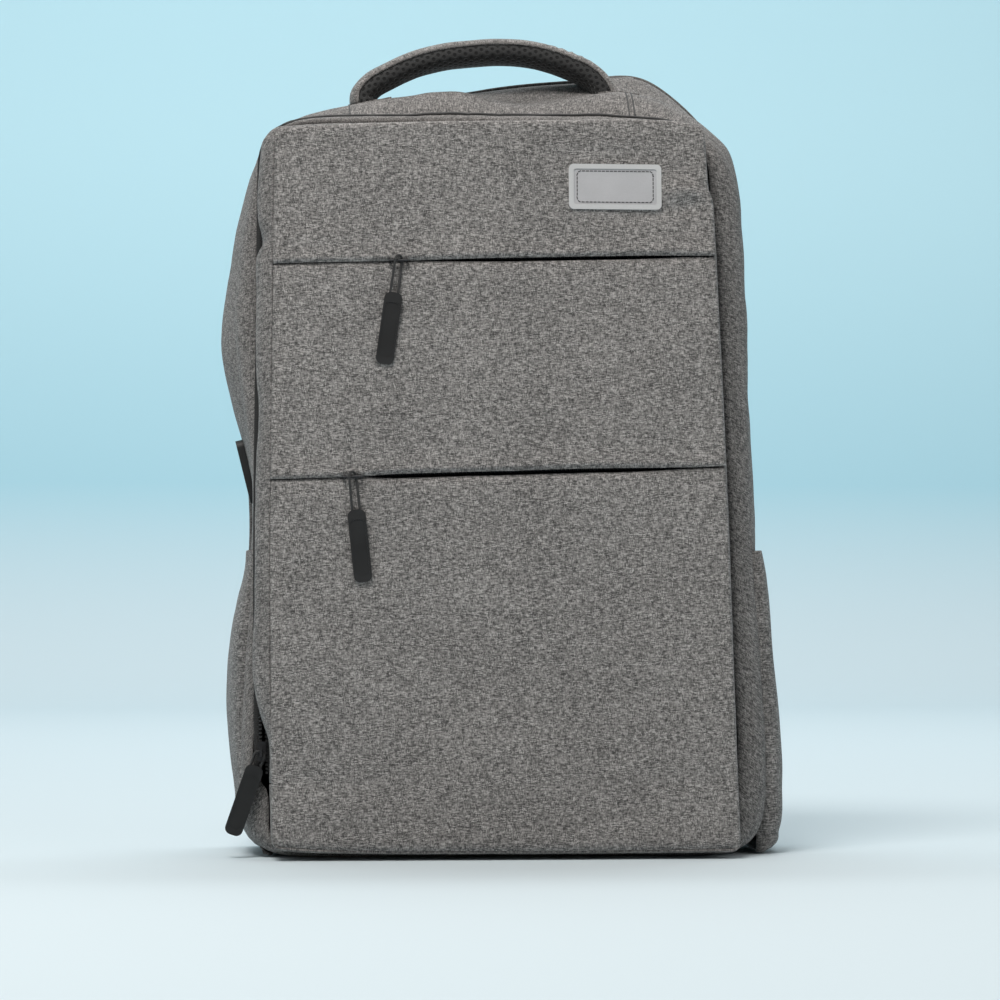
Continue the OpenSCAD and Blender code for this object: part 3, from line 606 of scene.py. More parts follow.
def cut_at_fold(bm):
    """Rows of vertices cut across the face at the heights of the fold."""
    up = Vector(F(0, 0, 1) - F(0, 0, 0)).normalized()
    for h in (FOLD_LOW, FOLD_MID, FOLD_HIGH):
        geom = bm.verts[:] + bm.edges[:] + bm.faces[:]
        bmesh.ops.bisect_plane(bm, geom=geom, plane_co=Vector(F(0, 0, h)), plane_no=up)


edit(face_low, cut_at_fold)
tuple(F(0, 0, FOLD_LOW))
tuple(F(0, 0, FOLD_HIGH))
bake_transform(face_low)


# ---- front section: the side wrap and the foot
def rim_left(h):
    """How far the wrap swells out on the viewer's left."""
    return curve(h, [(42, 1.0), (70, 1.4), (82, 5.2), (95, 8.6), (154, 8.8), (205, 8.6), (239, 8.2), (270, 7.0),
                     (295, 8.9), (345, 9.3), (363, 9.5), (373, 6.6), (386, 8.9), (412, 8.8), (440, 7.4)])


def arc(a, b, n=9):
    """(cosine, sine) at n angles from a to b degrees."""
    return [(cos(radians(k)), sin(radians(k))) for k in linspace(a, b, n)]


def rim_path(d, foot=False):
    """(X, h, nx, nh, flare) along the edge of the front section at depth d, left to right."""
    grow, drop = ease(d, 0, 26), ease(d, 5, 22)
    if foot:
        r, v, start, level, n_side, n_edge, edge = 5 + 9 * grow, -1, FOLD_LOW, 10, 16, 60, bottom_edge
        turn_l, turn_r = r + 3.0, r + 0.2
        fl_side, fl_corner, fl_edge = lambda h: 1.0 - 0.6 * (42 - h) / 42, lambda s: 0.3, lambda x: 0.2
        fl_right = 0.3, 0.7
    else:
        r, v, start, level, n_side, n_edge = 4 + 10 * grow, 1, FOLD_HIGH, 440.8, 120, 90
        turn_l, turn_r = level - r, 443.8 - 2.8 * drop - r
        fl_side, fl_corner = rim_left, lambda s: 7.4 - 5.6 * s
        fl_right = 0.7, 0.9

        def fl_edge(x):
            return 1.8 - 1.2 * ease(x, -120, -60)

        def edge(x):
            return top_face(x) * (1 - drop) + FACE_H * drop
    xl, xr = r - half_left(level), half_right(level) - r
    out = [(-half_left(h), h, -1, 0, fl_side(h)) for h in linspace(start, turn_l, n_side)]
    out += [(xl - r * c, turn_l + (edge(xl) - turn_l) * s, -c, v * s, fl_corner(s)) for c, s in arc(0, 90)[1:]]
    out += [(x, edge(x), 0, v, fl_edge(x)) for x in linspace(xl, xr, n_edge)[1:-1]]
    out += [(xr + r * c, turn_r + (edge(xr) - turn_r) * s, c, v * s, fl_right[0]) for c, s in arc(90, 0)]
    out += [(half_right(h), h, 1, 0, fl_right[1]) for h in linspace(turn_r, start, n_side)[1:]]
    return np.array(out, float)


# share of the swelling at each depth behind the face
BULGE = [(0, 0), (2, 0.22), (5, 0.62), (9, 0.92), (13.5, 1.0), (16, 0.86), (18.5, 0.42), (21, 0.12), (26, 0)]


def rim(name, foot=False):
    rows = []
    for d in (1.2, 2.2, 3.2, 4.6, 6.2, 8.2, 10.4, 12.4, 14.2, 15.6, 17, 18.2, 19.4, 20.6, 22, 23.6, 25, 26.2):
        X, h, nx, nh, fl = rim_path(d, foot).T
        wave = (0.6 if foot else 1.0) * (0.5 * soft(X + h, d, 34, 9, 4.0) + 0.25 * soft(X + h, d, 11, 7, 9.0))
        o = fl * curve(d, BULGE) - 0.9 * (1 - ease(d, 1, 4.6)) + wave * ease(d, 2, 8) * (1 - ease(d, 18, 24))
        if not foot:
            crease = ease(-X, 60, 120) * bell(h, 372 - (d - 8) * 0.4, 3.2)
            o = o - 1.8 * crease * bell(d, 10, 7)
        rows.append(F(X + nx * o - SKEW * h, d, h + nh * o))
    P = np.array(rows)
    uv = np.stack(np.broadcast_arrays(run_along(P[:, 20])[:, None], run_along(P[5])[None, :]), -1)
    return grid(name, P, uv, flip=foot)


# the wraps are the face cloth turned round its edge, painted darker with the side copy as shade
band = put(rim("wrap_band"), FRONT, SHELL, M_SHADED_SIDE, "wrap_left", "wrap_right", "wrap_top")
thick(band, 1.0)
thick(put(rim("foot_ring", True), "bag", SHELL, M_SHADED_SIDE, "front_foot"), 1.0)


# ---- rear shell: gusset, roof and base
def resample(pts, n):
    """n points on a smooth curve through pts."""
    pts = np.array(pts, float)
    d = run_along(pts)
    t = linspace(0, d[-1], n)
    return np.stack([curve(t, np.stack([d, pts[:, k]], 1)) for k in (0, 1)], 1)


def ring(right, left):
    """A closed ring from right and left halves, each listed from bottom centre to top centre."""
    roof, n_side, n_roof = 432, 110, 56
    halves = []
    for pts in (right, left):
        k = next(i for i, p in enumerate(pts) if i > 3 and p[1] > roof)
        halves.append(np.concatenate([resample(pts[:k + 1], n_side), resample(pts[k:], n_roof)[1:]]))
    return np.concatenate([halves[0], halves[1][::-1][1:-1]])


# outlines (x, z): front edge, front fold, middle and back, for the viewer's right and then the left (..L)
R0 = [(0, 4.5), (70, 4.5), (118, 4.5), (134, 6), (141.6, 14), (142.2, 30), (143, 46), (144.6, 60),
      (144.2, 110), (143.6, 165), (143.2, 220), (142.2, 275), (141, 330), (139.4, 385), (137.4, 404),
      (136.6, 424), (133.5, 440), (124, 447), (106, 449.5), (84, 450), (50, 450), (0, 450)]
FR = [(0, 0), (70, 0), (122, 0), (145, 2), (157, 9), (162.5, 24), (164.5, 56), (163.5, 108), (162, 163),
      (161, 220), (160.5, 275), (160, 330), (159, 382), (156.5, 418), (149.5, 437), (134, 451), (112, 457),
      (86, 459), (50, 459), (0, 459)]
MR = [(0, 0), (70, 0), (124, 0), (148, 2), (161, 8), (167, 22), (168.5, 56), (167, 108), (165, 163),
      (164.5, 220), (164, 275), (163.5, 330), (162.5, 382), (160.5, 417), (157, 442), (138, 460), (115, 473),
      (88, 480), (50, 475.5), (18, 471.5), (0, 475)]
BR = [(0, 0), (70, 0), (122, 0), (144, 3), (154, 10), (158, 25), (160, 58), (160, 110), (160, 165), (160, 220),
      (160, 275), (159.5, 330), (158.5, 382), (156.5, 418), (151, 443), (138, 462), (119, 481), (99, 494),
      (56, 492), (10, 487.5), (0, 486)]
R0L = [(0, 4.5), (-70, 4.5), (-118, 4.5), (-133, 6), (-141, 14), (-142, 30), (-143, 41), (-149.4, 50),
       (-151, 60), (-150.4, 74), (-148.8, 110), (-147.8, 165), (-146.6, 220), (-144.6, 275), (-144.4, 330),
       (-143, 385), (-141.6, 420), (-138.5, 437), (-130, 446), (-118, 449), (-106, 450), (-84, 450.5),
       (-50, 450.5), (0, 450.5)]
FL = [(0, 0), (-70, 0), (-122, 0), (-144, 3), (-153, 9), (-157, 22), (-158.5, 56), (-157, 108), (-152.5, 163),
      (-149.6, 195), (-149, 217), (-149.6, 237), (-152, 257), (-156, 290), (-158.5, 330), (-156, 362),
      (-152, 391), (-147, 418), (-142, 436), (-131, 449), (-115, 455), (-104, 456), (-84, 457), (-50, 458),
      (0, 459)]
ML = [(0, 0), (-70, 0), (-124, 0), (-147, 2), (-156, 7), (-160, 20), (-161, 56), (-160, 108), (-154, 163),
      (-150, 180), (-148, 195), (-147, 217), (-150.2, 237), (-155, 257), (-160, 275), (-164, 295), (-166, 312),
      (-164, 343), (-160, 362), (-155.5, 391), (-150, 410), (-145, 426), (-139, 440), (-131, 450),
      (-117, 458.5), (-97, 466), (-80, 470.5), (-60, 474), (-8, 477.5), (0, 475)]
BL = [(0, 0), (-70, 0), (-122, 0), (-143, 3), (-152, 10), (-156, 25), (-158, 58), (-157, 110), (-154, 165),
      (-152, 205), (-154, 240), (-158, 275), (-159.5, 320), (-158, 362), (-154, 395), (-147, 424), (-137, 446),
      (-122, 459), (-104, 469), (-84, 475), (-60, 478), (-10, 484), (0, 486)]

rings = [ring(R0, R0L), ring(FR, FL), ring(MR, ML), ring(BR, BL)]
N_RING = len(rings[0])
for k in (1, 2, 3):
    for _ in range(6):
        rings[k] = (np.roll(rings[k], 1, 0) + 2 * rings[k] + np.roll(rings[k], -1, 0)) / 4


def lean_y(d, z):
    """y at depth d behind the leaning face, at height z."""
    h = (z - LIFT + d * sin(LEAN)) / cos(LEAN)
    return FRONT_Y + d * cos(LEAN) + h * sin(LEAN)


def shell_rows():
    """Rings of vertices from the lip beside the main zip to the seam of the back panel."""
    rows = []

    def add(p, y):
        rows.append(np.stack([p[:, 0], np.broadcast_to(y, N_RING), p[:, 1]], 1))
    r0, f, m, b = rings
    on_right = r0[:, 0] > 0
    lip = np.where(on_right, 24.4, 29.4) + 5.0 * ease(r0[:, 1], 438, 449) * on_right
    roll = np.where(on_right, 2.5, 0.9 + 3.0 * ease(r0[:, 1], 441, 449))
    y0, yf, yb = lean_y(lip, r0[:, 1]), lean_y(41, f[:, 1]), 65.0
    ym = 12 + 14 * ease(m[:, 1], 440, 476)
    for a in linspace(0, 90, 8)[:-1]:
        s, c = sin(radians(a)), cos(radians(a))
        add(r0 + (f - r0) * s, y0 - roll * sin(radians(min(180, 2 * a))) + (yf - y0) * (1 - c))
    for t in linspace(0, 1, 13)[:-1]:
        add(f + (m - f) * sin(t * pi / 2) ** 0.9, yf + (ym - yf) * t)
    for t in linspace(0, 1, 15):
        add(m + (b - m) * t * t * (3 - 2 * t), ym + (yb - ym) * t)
    inwards = unit(b - np.array([0.0, 240.0]))
    for back, y in ((1.2, 67.5), (3.2, 69.3), (6.0, BACK_Y)):
        add(b - inwards * back, y)
    return np.array(rows)


Q = shell_rows()
ahead = np.roll(Q, -1, 1) - np.roll(Q, 1, 1)
out_n = np.stack([ahead[..., 2], np.zeros(Q.shape[:2]), -ahead[..., 0]], -1)
out_n = out_n / np.maximum(np.linalg.norm(out_n, axis=-1, keepdims=True), 1e-9)
run_ring = run_along(Q[16])
qx, qy, qz = np.moveaxis(Q, -1, 0)
wave = (1.9 * soft(qy, qz, 42, 85, 1.0) * np.sign(qx) + 0.9 * soft(qy + 40, qz, 17, 30, 7.0)
        + 0.35 * soft(qy, qz + 0.4 * qx, 7, 14, 3.0))
free = ease(qy, -36, -18) * (1 - ease(qy, 52, 64))
on_top = ease(qz, 452, 462)
wave = wave * (1 - on_top) + on_top * (1.3 * soft(qx, qy, 38, 26, 5.0) + 0.5 * soft(qx, qy, 13, 16, 2.0))
port_clear = 1 - bell(qz, 241, 34) * (qx < 0) * bell(qy, 10, 26)
Q = Q + out_n * (wave * free * ease(qz, 8, 40) * port_clear)[..., None]
Q[..., 0] -= SKEW * Q[..., 2] * (1 - ease(Q[..., 1], 10, 60))
shell_uv = np.stack(np.broadcast_arrays(run_along(Q[:, 60])[:, None] * MM, run_ring[None, :] * MM), -1)
rear_shell = grid("rear_shell", Q * MM, shell_uv, flip=True, close_v=True)
put(rear_shell, "bag", SHELL, [M_SHADED_SIDE, M_LINE], "gusset_left", "gusset_right", "roof_center",
    "roof_left", "roof_right", "base_panel")
thick(rear_shell, 1.6, inner=1)


# ---- side pockets
def pocket(sign, side, base, outline):
    """Cloth pocket bulging from the gusset, gathered at its elastic top; outline is (z, reach)."""
    zs = np.concatenate([linspace(1.5, 20, 12), linspace(24, 170, 52), linspace(172.5, 187, 9)])
    ang = linspace(0, pi, 46)
    round_y = np.sin(ang)
    rows = []
    for z in zs:
        low = float(ease(z, 0, 22))
        y = 15 - np.cos(ang) * (41 + 3 * low)
        folds = 1.5 * soft(y, z, 13, 72, 2.0 + sign) + 0.6 * soft(y, z, 6, 26, 5.0)
        folds = folds + 1.2 * bell(z, 182, 9) * np.sin(y * 0.95) * 0.45
        folds = folds * round_y * (0.35 + 0.65 * low)
        x = base + (curve(z, outline) - base) * round_y ** 0.34 + folds
        rows.append(np.stack([sign * x - SKEW * z * (1 - ease(y, 10, 60)), y, np.full_like(y, z)], 1))
    P = np.array(rows) * MM
    cloth = grid("pocket_cloth_" + side, P, flip=sign > 0)
    thick(put(cloth, "bag", SHELL, M_SHADED_SIDE, "pocket_" + side), 1.2)
    top = P[-9:, 2:-2] + np.array([sign * 0.0007, 0, 0])
    hem = grid("pocket_edge_" + side, top, flip=sign > 0)
    thick(put(hem, "bag", SHELL, M_BASE, "pocket_hem_" + side), 1.5, offset=0.4)


pocket(-1, "left", 146.0, [
    (0, 136), (6, 146.5), (15, 152), (25, 159.8), (39, 161.6), (57, 163.7), (94, 165), (135, 162.2),
    (157, 158), (172, 153.8), (180, 152), (187, 151.4)])
pocket(1, "right", 157.5, [
    (0, 158), (4, 168.9), (15, 174.8), (44, 177.2), (94, 175.2), (131, 172.4), (160, 170.4), (174, 168.8),
    (181, 167.2), (187, 165.8)])


# ---- zips
def read_at(t, d, values):
    """Vectors given at distances d, read at distances t."""
    return np.stack([np.interp(t, d, values[:, k]) for k in range(3)], 1)


def evenly(path, step):
    """Points every step metres along a path, unit tangents, their distances and the path's own."""
    d = run_along(path)
    t = linspace(0, d[-1], max(2, int(d[-1] / step)))
    out = read_at(t, d, path)
    return out, unit(np.gradient(out, axis=0)), t, d


OCTAGON = [(-1, -0.55), (-0.55, -1), (0.55, -1), (1, -0.55), (1, 0.55), (0.55, 1), (-0.55, 1), (-1, 0.55)]


def teeth(path, side, up, deep, shift=0.0):
    """Moulded zip coils: one rounded block per tooth; shift is a share of the pitch."""
    wide, pitch = 2.1, 0.0024
    P, ahead, t, d = evenly(path, pitch)
    vs, fs, k = [], [], 0
    for p, tt, a, b in zip(P, ahead, read_at(t, d, side) * wide / 2000, read_at(t, d, up) * deep / 2000):
        for s in (shift - 0.3, shift + 0.3):
            vs += [p + tt * pitch * s + a * q + b * r for q, r in OCTAGON]
        fs += [tuple(k + j for j in range(8))[::-1], tuple(k + 8 + j for j in range(8))]
        fs += [(k + j, k + (j + 1) % 8, k + 8 + (j + 1) % 8, k + 8 + j) for j in range(8)]
        k += 16
    return np.array(vs), fs, None


def zip_piece(name, tapes, coils, body, node):
    """Tapes and coils as one piece; the coils have the second material and flat faces."""
    ob = put(join(name, tapes + coils), body, "zip", [M_TAPE, M_TEETH], node)
    for poly in ob.data.polygons[sum(len(faces) for _, faces, _ in tapes):]:
        poly.material_index = 1
        poly.use_smooth = False


INTO = (F(0, 1, 0) - F(0, 0, 0)) * 1000  # unit vector straight into the face


def zip_ring(name, off_teeth, off_tape, d_tape, tape_w, body, node):
    """Half of the main zip, in the recess round the front section."""
    X, h, nx, nh = rim_path(26)[2:-2, :4].T
    side = unit(F(X + nx - SKEW * (h + nh), 0, h + nh) - F(X - SKEW * h, 0, h))
    up = np.repeat(INTO[None], len(X), 0)

    def at(o, d):
        return F(X + nx * o - SKEW * h, d, h + nh * o)
    zip_piece(name, [ribbon(at(off_tape, d_tape), side, up, tape_w, 1.1)],
              [teeth(at(off_teeth, ZIP_D), side, up, 2.5)], body, node)


zip_ring("main_zip_fixed", 5.8, 8.2, 29.6, 3.4, "bag", "main_zip_outer")
zip_ring("main_zip_moving", 2.2, -0.8, 26.7, 4.0, FRONT, "main_zip_inner")


def flat_zip(name, h0, tilt, node):
    """A pocket zip behind its two lips."""
    lo, hi = (corner.x * 1000 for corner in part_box(node))
    x = linspace(lo + 0.5, hi - 0.5, 80)
    h = crossing(h0, tilt, x + SKEW * h0)
    side = np.repeat((F(0, 0, 1) - F(0, 0, 0))[None] * 1000, len(x), 0)
    up = np.repeat(INTO[None], len(x), 0)
    tapes = [ribbon(F(x, POCKET_ZIP_D, h + s * 6.6), side, up, 7.8, 1.1) for s in (-1, 1)]
    coils = [teeth(F(x, POCKET_ZIP_D, h + s * 1.75), side, up, 2.6, 0.25 * s) for s in (-1, 1)]
    zip_piece(name, tapes, coils, FRONT, node)


flat_zip("pocket_zip_upper", UP_H, UP_T, "upper_zip")
flat_zip("pocket_zip_lower", LO_H, LO_T, "lower_zip")


# ---- handle
def roof_z(x, y):
    """Height of the roof cloth at (x, y)."""
    cand = Q[6:-3].reshape(-1, 3)
    cand = cand[cand[:, 2] > 430]
    x, y = np.broadcast_arrays(np.asarray(x, float), np.asarray(y, float))
    out = []
    for a, b in zip(x.ravel(), y.ravel()):
        dist = np.hypot(cand[:, 0] - a, cand[:, 1] - b)
        k = np.argpartition(dist, 4)[:4]
        wt = 1 / (dist[k] + 0.3)
        out.append(float((cand[k, 2] * wt).sum() / wt.sum()))
    return np.array(out).reshape(x.shape)


ARCH = [(-92, 471), (-91.5, 480), (-83, 491.2), (-72, 498), (-53, 507), (-34, 512.4), (-11.5, 515.3),
        (4.6, 516.2), (30, 514), (50, 508), (66, 500), (73.5, 493), (79, 484), (82, 474)]


def handle_section(name, section, mat, slot, node):
    """section: (y across, depth below the top of the arch) points, closed."""
    n = 96
    c = resample(ARCH, n)
    ahead = unit(np.gradient(c, axis=0))
    s = linspace(0, 1, n)
    rows = []
    for i in range(n):
        pinch = 1 - 0.05 * bell(min(s[i], 1 - s[i]), 0, 0.07)
        ruck = 0.5 * bell(s[i], 0.76, 0.06) * sin(s[i] * 210)
        for a, t in section:
            x, z = c[i] + np.array([ahead[i, 1], -ahead[i, 0]]) * (t + (ruck if t < 3 else 0))
            rows.append((x, HANDLE_Y + a * pinch + (z - 480) * tan(radians(8)), z))
    P = np.array(rows).reshape(n, len(section), 3) * MM
    slack_z = 0.0004 * soft(np.arange(n)[:, None] * 1.9, np.arange(len(section))[None, :] * 2.0, 17, 6, 3.0)
    P[..., 2] += slack_z * np.sin(np.pi * s)[:, None] ** 0.5
    ob = grid(name, P, close_v=True)
    edit(ob, fill_holes(), outwards)
    put(ob, None, slot, mat, node)
    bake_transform(ob)
    return ob


def oval(a0, a1, ra, rb, depth, n):
    """Points on an ellipse of half axes ra and rb, its middle at this depth."""
    return [(ra * c, depth - rb * s) for c, s in arc(a0, a1, n)]


handle_section("handle_cloth", oval(180, 90, 16.2, 4.2, 4.2, 12) + oval(90, 0, 16.2, 4.2, 4.2, 12)[1:]
               + [(16.4, 5.0), (15.6, 5.7), (14.6, 5.2)] + oval(0, 180, 14.4, 2.9, 4.6, 22)
               + [(-14.6, 5.2), (-15.6, 5.7), (-16.4, 5.0)], M_FACE, SHELL, "handle_cover")
handle_under = handle_section("handle_air_mesh", oval(180, 0, 14.6, 1.4, 4.9, 16) + [(15.2, 6.4), (15.6, 9.0)]
                              + oval(0, -180, 15.4, 6.2, 10.4, 24)[1:-1] + [(-15.6, 9.0), (-15.2, 6.4)],
                              M_MESH_UV, "air_mesh", "handle_mesh")
for tab in ("handle_tab_left", "handle_tab_right"):
    lo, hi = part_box(tab)
    XX, YY = np.meshgrid(linspace(lo.x * 1000, hi.x * 1000, 14), linspace(25, 59, 18), indexing="ij")
    ZZ = roof_z(XX, YY) + 0.9 + 0.3 * soft(XX, YY, 9, 9, 4.0)
    sewn = grid("stitched_" + tab, np.stack([XX, YY, ZZ], -1) * MM, flip=True)
    thick(put(sewn, "bag", SHELL, M_SHADED_SIDE, tab), 1.2)

# ---- sewn seams on the roof, and a dark cord along the face's top edge as painted shadow
# a dark cord on the roof just behind the face's top edge: painted shadow of the crevice between them; the three
# short tubes below are seams
x, y = linspace(-131, 131, 110) - SKEW * 456, np.full(110, lean_y(41, 458) + 1.0)
parts = [tube(np.stack([x, y, roof_z(x, y) + 0.25], 1) * MM, 0.85, 8)]
y = linspace(-2.5, 64, 40)
for x in (-93, 82.5, 86.0):
    x = np.full(40, x)
    parts.append(tube(np.stack([x, y, roof_z(x, y) + 0.1], 1) * MM, 0.55, 6))
put(join("roof_seams_and_shadow_line", parts), "bag", SHELL, M_THREAD_AND_SHADOW_LINE)

# ---- back panel and its piping
centre = np.array([0.0, 70.4, 245.0])
rows = []
for f in np.concatenate([[1.0, 0.985], linspace(0.96, 0.02, 40)]):
    p = centre + (Q[-1] - centre) * f
    p[:, 1] = BACK_Y + 0.35 * soft(p[:, 0], p[:, 2], 18, 18, 2.0)
    rows.append(p)
P = np.array(rows) * MM
back_cloth = grid("back_cloth", P, P[..., ::2], flip=True, close_v=True)
edit(back_cloth, fill_holes(0.0007), flip_where(lambda n: n.y < 0))
thick(put(back_cloth, "bag", SHELL, M_SHADED_SIDE, "back_panel"), 2.2)

pipe = Q[-4].copy()
pipe[:, 1] = 67.8
pipe = pipe + out_n[-4] * 0.9
piping = new_object("back_piping_cord", *tube(pipe[pipe[:, 2] > 22] * MM, 1.7))
put(piping, "bag", "base_fabric", M_BASE, "back_piping")

# ---- foam pads and shoulder straps, puffed up by a short pressure run
softened = []


def stuffed(node, name, cap):
    """Cloth cover over foam, from the remeshed CAD block; no point moves further than cap metres."""
    ob = bpy.data.objects.new(name, NODES[node].data.copy())
    scene.collection.objects.link(ob)
    m = ob.modifiers.new("remesh", "REMESH")
    m.mode = "VOXEL"
    m.voxel_size = 0.005
    dg = bpy.context.evaluated_depsgraph_get()
    ob.data = bpy.data.meshes.new_from_object(ob.evaluated_get(dg))
    ob.modifiers.clear()
    c = ob.modifiers.new("cloth", "CLOTH").settings
    c.use_pressure = True
    c.uniform_pressure_force = 4.0
    c.effector_weights.gravity = 0
    c.quality = 4
    c.tension_stiffness = c.compression_stiffness = 12
    softened.append((ob, np.array([v.co[:] for v in ob.data.vertices]), cap, node))


for side in ("left", "right"):
    stuffed("back_pad_" + side, "back_pad_foam_" + side, 0.005)
    stuffed("strap_" + side, "shoulder_strap_" + side, 0.004)
stuffed("lumbar_pad", "lumbar_foam", 0.005)
for fr in range(1, 21):
    scene.frame_set(fr)
for ob, rest, cap, node in softened:
    dg = bpy.context.evaluated_depsgraph_get()
    me = bpy.data.meshes.new_from_object(ob.evaluated_get(dg))
    move = np.array([v.co[:] for v in me.vertices]) - rest
    far = np.linalg.norm(move, axis=1, keepdims=True)
    co = rest + move * np.where(far > 1e-9, np.tanh(far / cap) * cap / np.maximum(far, 1e-9), 0)
    co[:, 1] = np.maximum(co[:, 1], 0.0702)  # flat where it rests on the back panel
    ob.modifiers.clear()
    ob.data = me
    me.vertices.foreach_set("co", co.ravel())
    me.update()
    ob.data.polygons.foreach_set("use_smooth", [True] * len(ob.data.polygons))
    m = ob.modifiers.new("smooth", "SUBSURF")
    m.levels = m.render_levels = 1
    put(ob, "bag", "air_mesh", M_MESH, node)
scene.frame_set(1)

# ---- trolley sleeve, flat at its sewn ends
t = linspace(0, 1, 70)
end, edge_x = 0.06, 139.2
bx = np.where(t > 1 - end, edge_x - 3 * ((1 - t) / end) ** 2, -136.2 + (t - end) / 0.88 * 272.4)
bx = np.where(t < end, -edge_x + 3 * (t / end) ** 2, bx)
by = 70.8 + 19.6 * (1 - np.clip(1 - np.minimum(t, 1 - t) / 0.07, 0, 1) ** 2.4)
BX, ZB = np.meshgrid(bx, linspace(165.6, 244.4, 26), indexing="ij")
BY = by[:, None] + 0.6 * soft(BX, ZB, 40, 30, 3.0) * np.sin(np.pi * t)[:, None]
band = grid("trolley_sleeve", np.stack([BX, BY, ZB], -1) * MM)
edit(band, to_back)
thick(put(band, "bag", "webbing", M_WEB, "trolley_band"), 1.6)

# ---- straps: webbing and anchors
SPLAY = radians(11.2)
# (y, z) of the webbing from the pad's end, in the strap's own frame: round the lock, then down to the anchor
turn = [(3.45, -40.0), (3.45, -30.0), (3.5, -20.0), (3.45, -10), (3.45, -2), (3.35, 1.2), (2.3, 3.0), (0, 3.75),
        (-2.3, 3.0), (-3.35, 1.2), (-3.45, -2), (-3.45, -15)]
drop = [(-3.45 - 29.6 * (0.35 * ease(k, 0, 1) + 0.65 * k), -15 - 135.8 * k) for k in linspace(0.03, 1, 24)]
yz = np.array(turn + drop + [(-33.05, -156), (-33.05, -162.6)])
CORNERS = [(158, 22), (158, 84), (136, 84), (114, 48), (126, 22), (158, 22)]
for sgn, side in ((-1, "left"), (1, "right")):
    yy, zz = 106.8 + yz[:, 0], -247 + yz[:, 1]
    path = np.stack([sgn * (58 - zz * sin(SPLAY)), yy, 448 + zz * cos(SPLAY)], 1) * MM
    across = np.repeat(np.array([[sgn * cos(SPLAY), 0, sin(SPLAY)]]), len(path), 0)
    up = np.cross(unit(np.gradient(path, axis=0)), across)
    web = join("strap_webbing_" + side, [ribbon(path, across, up, 25, 1.4)])
    edit(web, outwards)
    put(web, "bag", "webbing", M_WEB, "strap_web_" + side)
    # five-cornered anchor sewn to the back panel
    middle = np.array([140.0, 50.0])
    loop = resample(CORNERS, 61)[:-1]
    rows = []
    for f in linspace(1, 0.05, 12):
        x, z = (middle + (loop - middle) * f).T
        rows.append(np.stack([sgn * x, 71.4 + 1.1 * (1 - f ** 6) + 0.2 * soft(x, z, 6, 6, 3.0), z], 1))
    anchor = grid("strap_anchor_cloth_" + side, np.array(rows) * MM, close_v=True)
    edit(anchor, fill_holes(0.0012), to_back)
    thick(put(anchor, "bag", "base_fabric", M_BASE, "strap_anchor_" + side), 1.2)

# ---- inside: linings and dividers
XX, HH = np.meshgrid(linspace(-1, 1, 60), linspace(46, 438, 70), indexing="ij")
X = XX * (np.where(XX < 0, half_left(HH), half_right(HH)) - 3.0)
liner = grid("front_lining", F(X - SKEW * HH, 24.6 + 0.5 * soft(X, HH, 30, 40, 3.0), HH), flip=True)
thick(put(liner, FRONT, "lining", M_LINE, "front_liner"), 1.8, offset=0)
XX, DD = np.meshgrid(linspace(-134.5, 133.5, 60), linspace(3.4, 22.6, 12), indexing="ij")
HH = POCKET_FLOOR_H + 0.6 * soft(XX, DD, 30, 12, 3.0)
divider = grid("pocket_partition", F(XX - SKEW * POCKET_FLOOR_H, DD, HH))
thick(put(divider, FRONT, "lining", M_LINE, "pocket_divider"), 1.6, offset=0)
zs = np.concatenate([linspace(6, 318, 60), [320, 322, 323.6, 324.6, 325]])
XX, ZZ = np.meshgrid(linspace(-156, 156, 60), zs, indexing="ij")
XX = np.where(XX < 0, XX * (1 - 0.052 * bell(ZZ, 205, 62)), XX) * 0.985
sleeve = grid("sleeve_partition", np.stack([XX, 51.5 + 0.4 * soft(XX, ZZ, 36, 50, 3.0), ZZ], -1) * MM)
thick(put(sleeve, "bag", "lining", M_LINE, "sleeve_divider"), 2.6, offset=0)

# ---- pieces kept from the CAD: material and edge radius
for names, mat, width in (
        (("port_frame",), M_RUB, 0.9), (("port_shell",), M_STL, 0.15), (("port_tongue",), M_PLA, 0.15),
        (("upper_slider", "lower_slider", "main_slider"), M_SLI, 0.35),
        (("upper_pull_cord", "lower_pull_cord", "main_pull_cord"), M_CORD, 0.0),
        (("upper_pull_tab", "lower_pull_tab", "main_pull_tab"), M_RUB, 0.6),
        (("badge_plate",), M_BADGE, 0.2), (("badge_rim",), M_RIM, 0.5),
        (("strap_lock_left", "strap_lock_right"), M_PLA, 0.5), (("base_board",), M_PLA, 0.4)):
    for n in names:
        paint(NODES[n], mat)
        if width:
            bev = NODES[n].modifiers.new("edge", "BEVEL")
            bev.width = width * MM
            bev.segments = 3
            bev.limit_method = "ANGLE"
            bev.angle_limit = radians(40)
            bev.use_clamp_overlap = True
            bev.harden_normals = True

# ---- the sewn groove inside the rim of the bare plate
bw, bh, br = 23.4, 9.6, 2.4  # half width, half height and corner radius
loop = []
for k, (sx, sy) in enumerate(((1, 1), (-1, 1), (-1, -1), (1, -1))):
    loop += [(sx * (bw - br) + br * c, sy * (bh - br) + br * s) for c, s in arc(90 * k, 90 * k + 90, 7)]
loop = np.array(loop + loop[:1])
lo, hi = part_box("badge_plate")
plate_h = ((lo.z + hi.z) * 500 - LIFT) / cos(LEAN)
pp, tt, _, _ = evenly(F((lo.x + hi.x) * 500 + loop[:, 0], -1.1, plate_h + loop[:, 1]), 0.0024)
parts = [tube([p + tv * k for k in (-0.0009, -0.0005, 0.0005, 0.0009)], 0.28, 6) for p, tv in zip(pp, tt)]
put(join("badge_stitching", parts), FRONT, "badge_rubber", M_THREAD_AND_SHADOW_LINE)


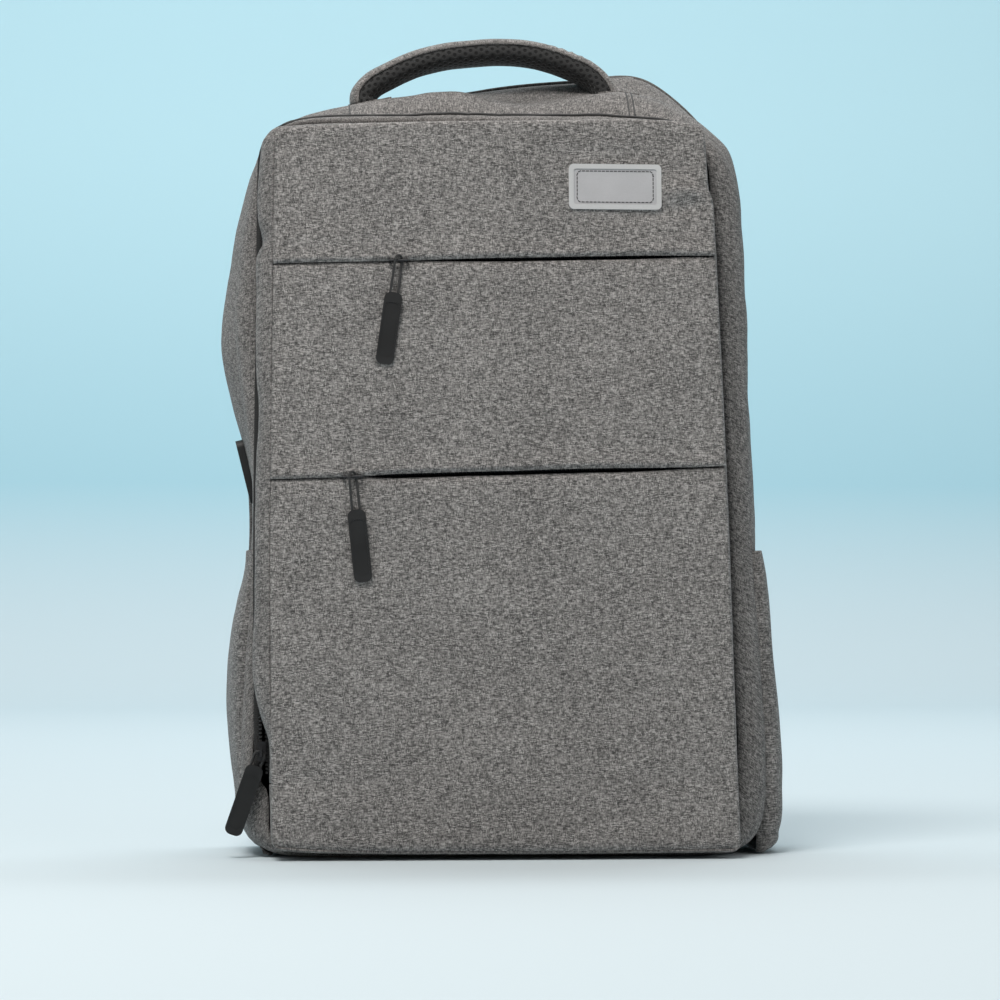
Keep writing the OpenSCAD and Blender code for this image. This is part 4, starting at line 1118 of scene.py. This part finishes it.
# ---- camera, floor and light
def facing(ob, at, to):
    """Puts a camera or lamp at a place and points it at another."""
    ob.location = at
    ob.rotation_euler = (Vector(to) - ob.location).to_track_quat("-Z", "Y").to_euler()
    scene.collection.objects.link(ob)


cam_data = bpy.data.cameras.new("camera")
cam_data.lens = 115.4
cam_data.sensor_width = 36
cam = bpy.data.objects.new("camera", cam_data)
AZ, EL, DIST, AIM = radians(-4.5), radians(-2.2), 2.0, Vector((0.001, 0, 0.219))
facing(cam, AIM + DIST * Vector((sin(AZ) * cos(EL), -cos(AZ) * cos(EL), sin(EL))), AIM)
scene.camera = cam

# the floor curves up into a wall behind the object
bend = [(3.4 + 1.6 * sin(a), 1.6 - 1.6 * cos(a)) for a in linspace(0.05, pi / 2, 18)]
profile = [(-30.0, 0.0), (-6.0, 0.0), (3.4, 0.0)] + bend + [(5.0, 6.5)]
floor = grid("floor", np.array([[(x, y, z) for x in (-22, 22)] for y, z in profile]))
edit(floor, flip_where(lambda n: n.z < -0.01 or (abs(n.z) < 0.01 and n.y > 0)))
g = Graph("pale_backdrop")
rise = g.smooth(g.node("SeparateXYZ", {0: g.node("TexCoord").outputs["Object"]}).outputs[2], 0.0, 1.3)
# the floor's own pale colour, then painted shade on the wall, darkest low down and lighter towards the top
floor_and_shaded_wall = g.ramp(rise, [(0.0, (0.66, 0.745, 0.785)), (0.25, (0.42, 0.66, 0.75)), (1.0, (0.55, 0.80, 0.88))])
paint(floor, g.surface(Base_Color=floor_and_shaded_wall, Roughness=0.9))

# a dim warm sky that the camera sees as pale blue
world = bpy.data.worlds.new("soft_sky")
scene.world = world
world.use_nodes = True
w_nodes, w_links = world.node_tree.nodes, world.node_tree.links
sky, seen = w_nodes["Background"], w_nodes.new("ShaderNodeBackground")
sky.inputs[0].default_value = (1.0, 0.98, 0.96, 1)
sky.inputs[1].default_value = 0.27
seen.inputs[0].default_value = (0.62, 0.82, 0.90, 1)
path_info, pick = w_nodes.new("ShaderNodeLightPath"), w_nodes.new("ShaderNodeMixShader")
w_links.new(path_info.outputs["Is Camera Ray"], pick.inputs[0])
w_links.new(sky.outputs[0], pick.inputs[1])
w_links.new(seen.outputs[0], pick.inputs[2])
w_links.new(pick.outputs[0], w_nodes["World Output"].inputs[0])


def light(name, at, to, size, power, colour=(1, 1, 1)):
    data = bpy.data.lights.new(name, "AREA")
    data.shape = "RECTANGLE"
    data.size, data.size_y = size
    data.energy = power
    data.color = colour
    facing(bpy.data.objects.new(name, data), at, to)


light("key", (-0.5, -1.05, 1.8), (0, 0, 0.42), (0.8, 0.6), 27, (1.0, 0.975, 0.945))
light("fill", (2.0, -1.6, 1.1), (0, 0, 0.3), (1.4, 1.4), 5, (1.0, 0.985, 0.97))
light("back", (0.2, 1.2, 2.6), (0, 0.2, 0.3), (1.8, 1.0), 10)
light("wash", (0.0, 1.6, 4.2), (0, 4.8, 1.0), (5.0, 2.0), 155, (0.95, 0.99, 1.0))

scene.view_settings.view_transform = "Standard"
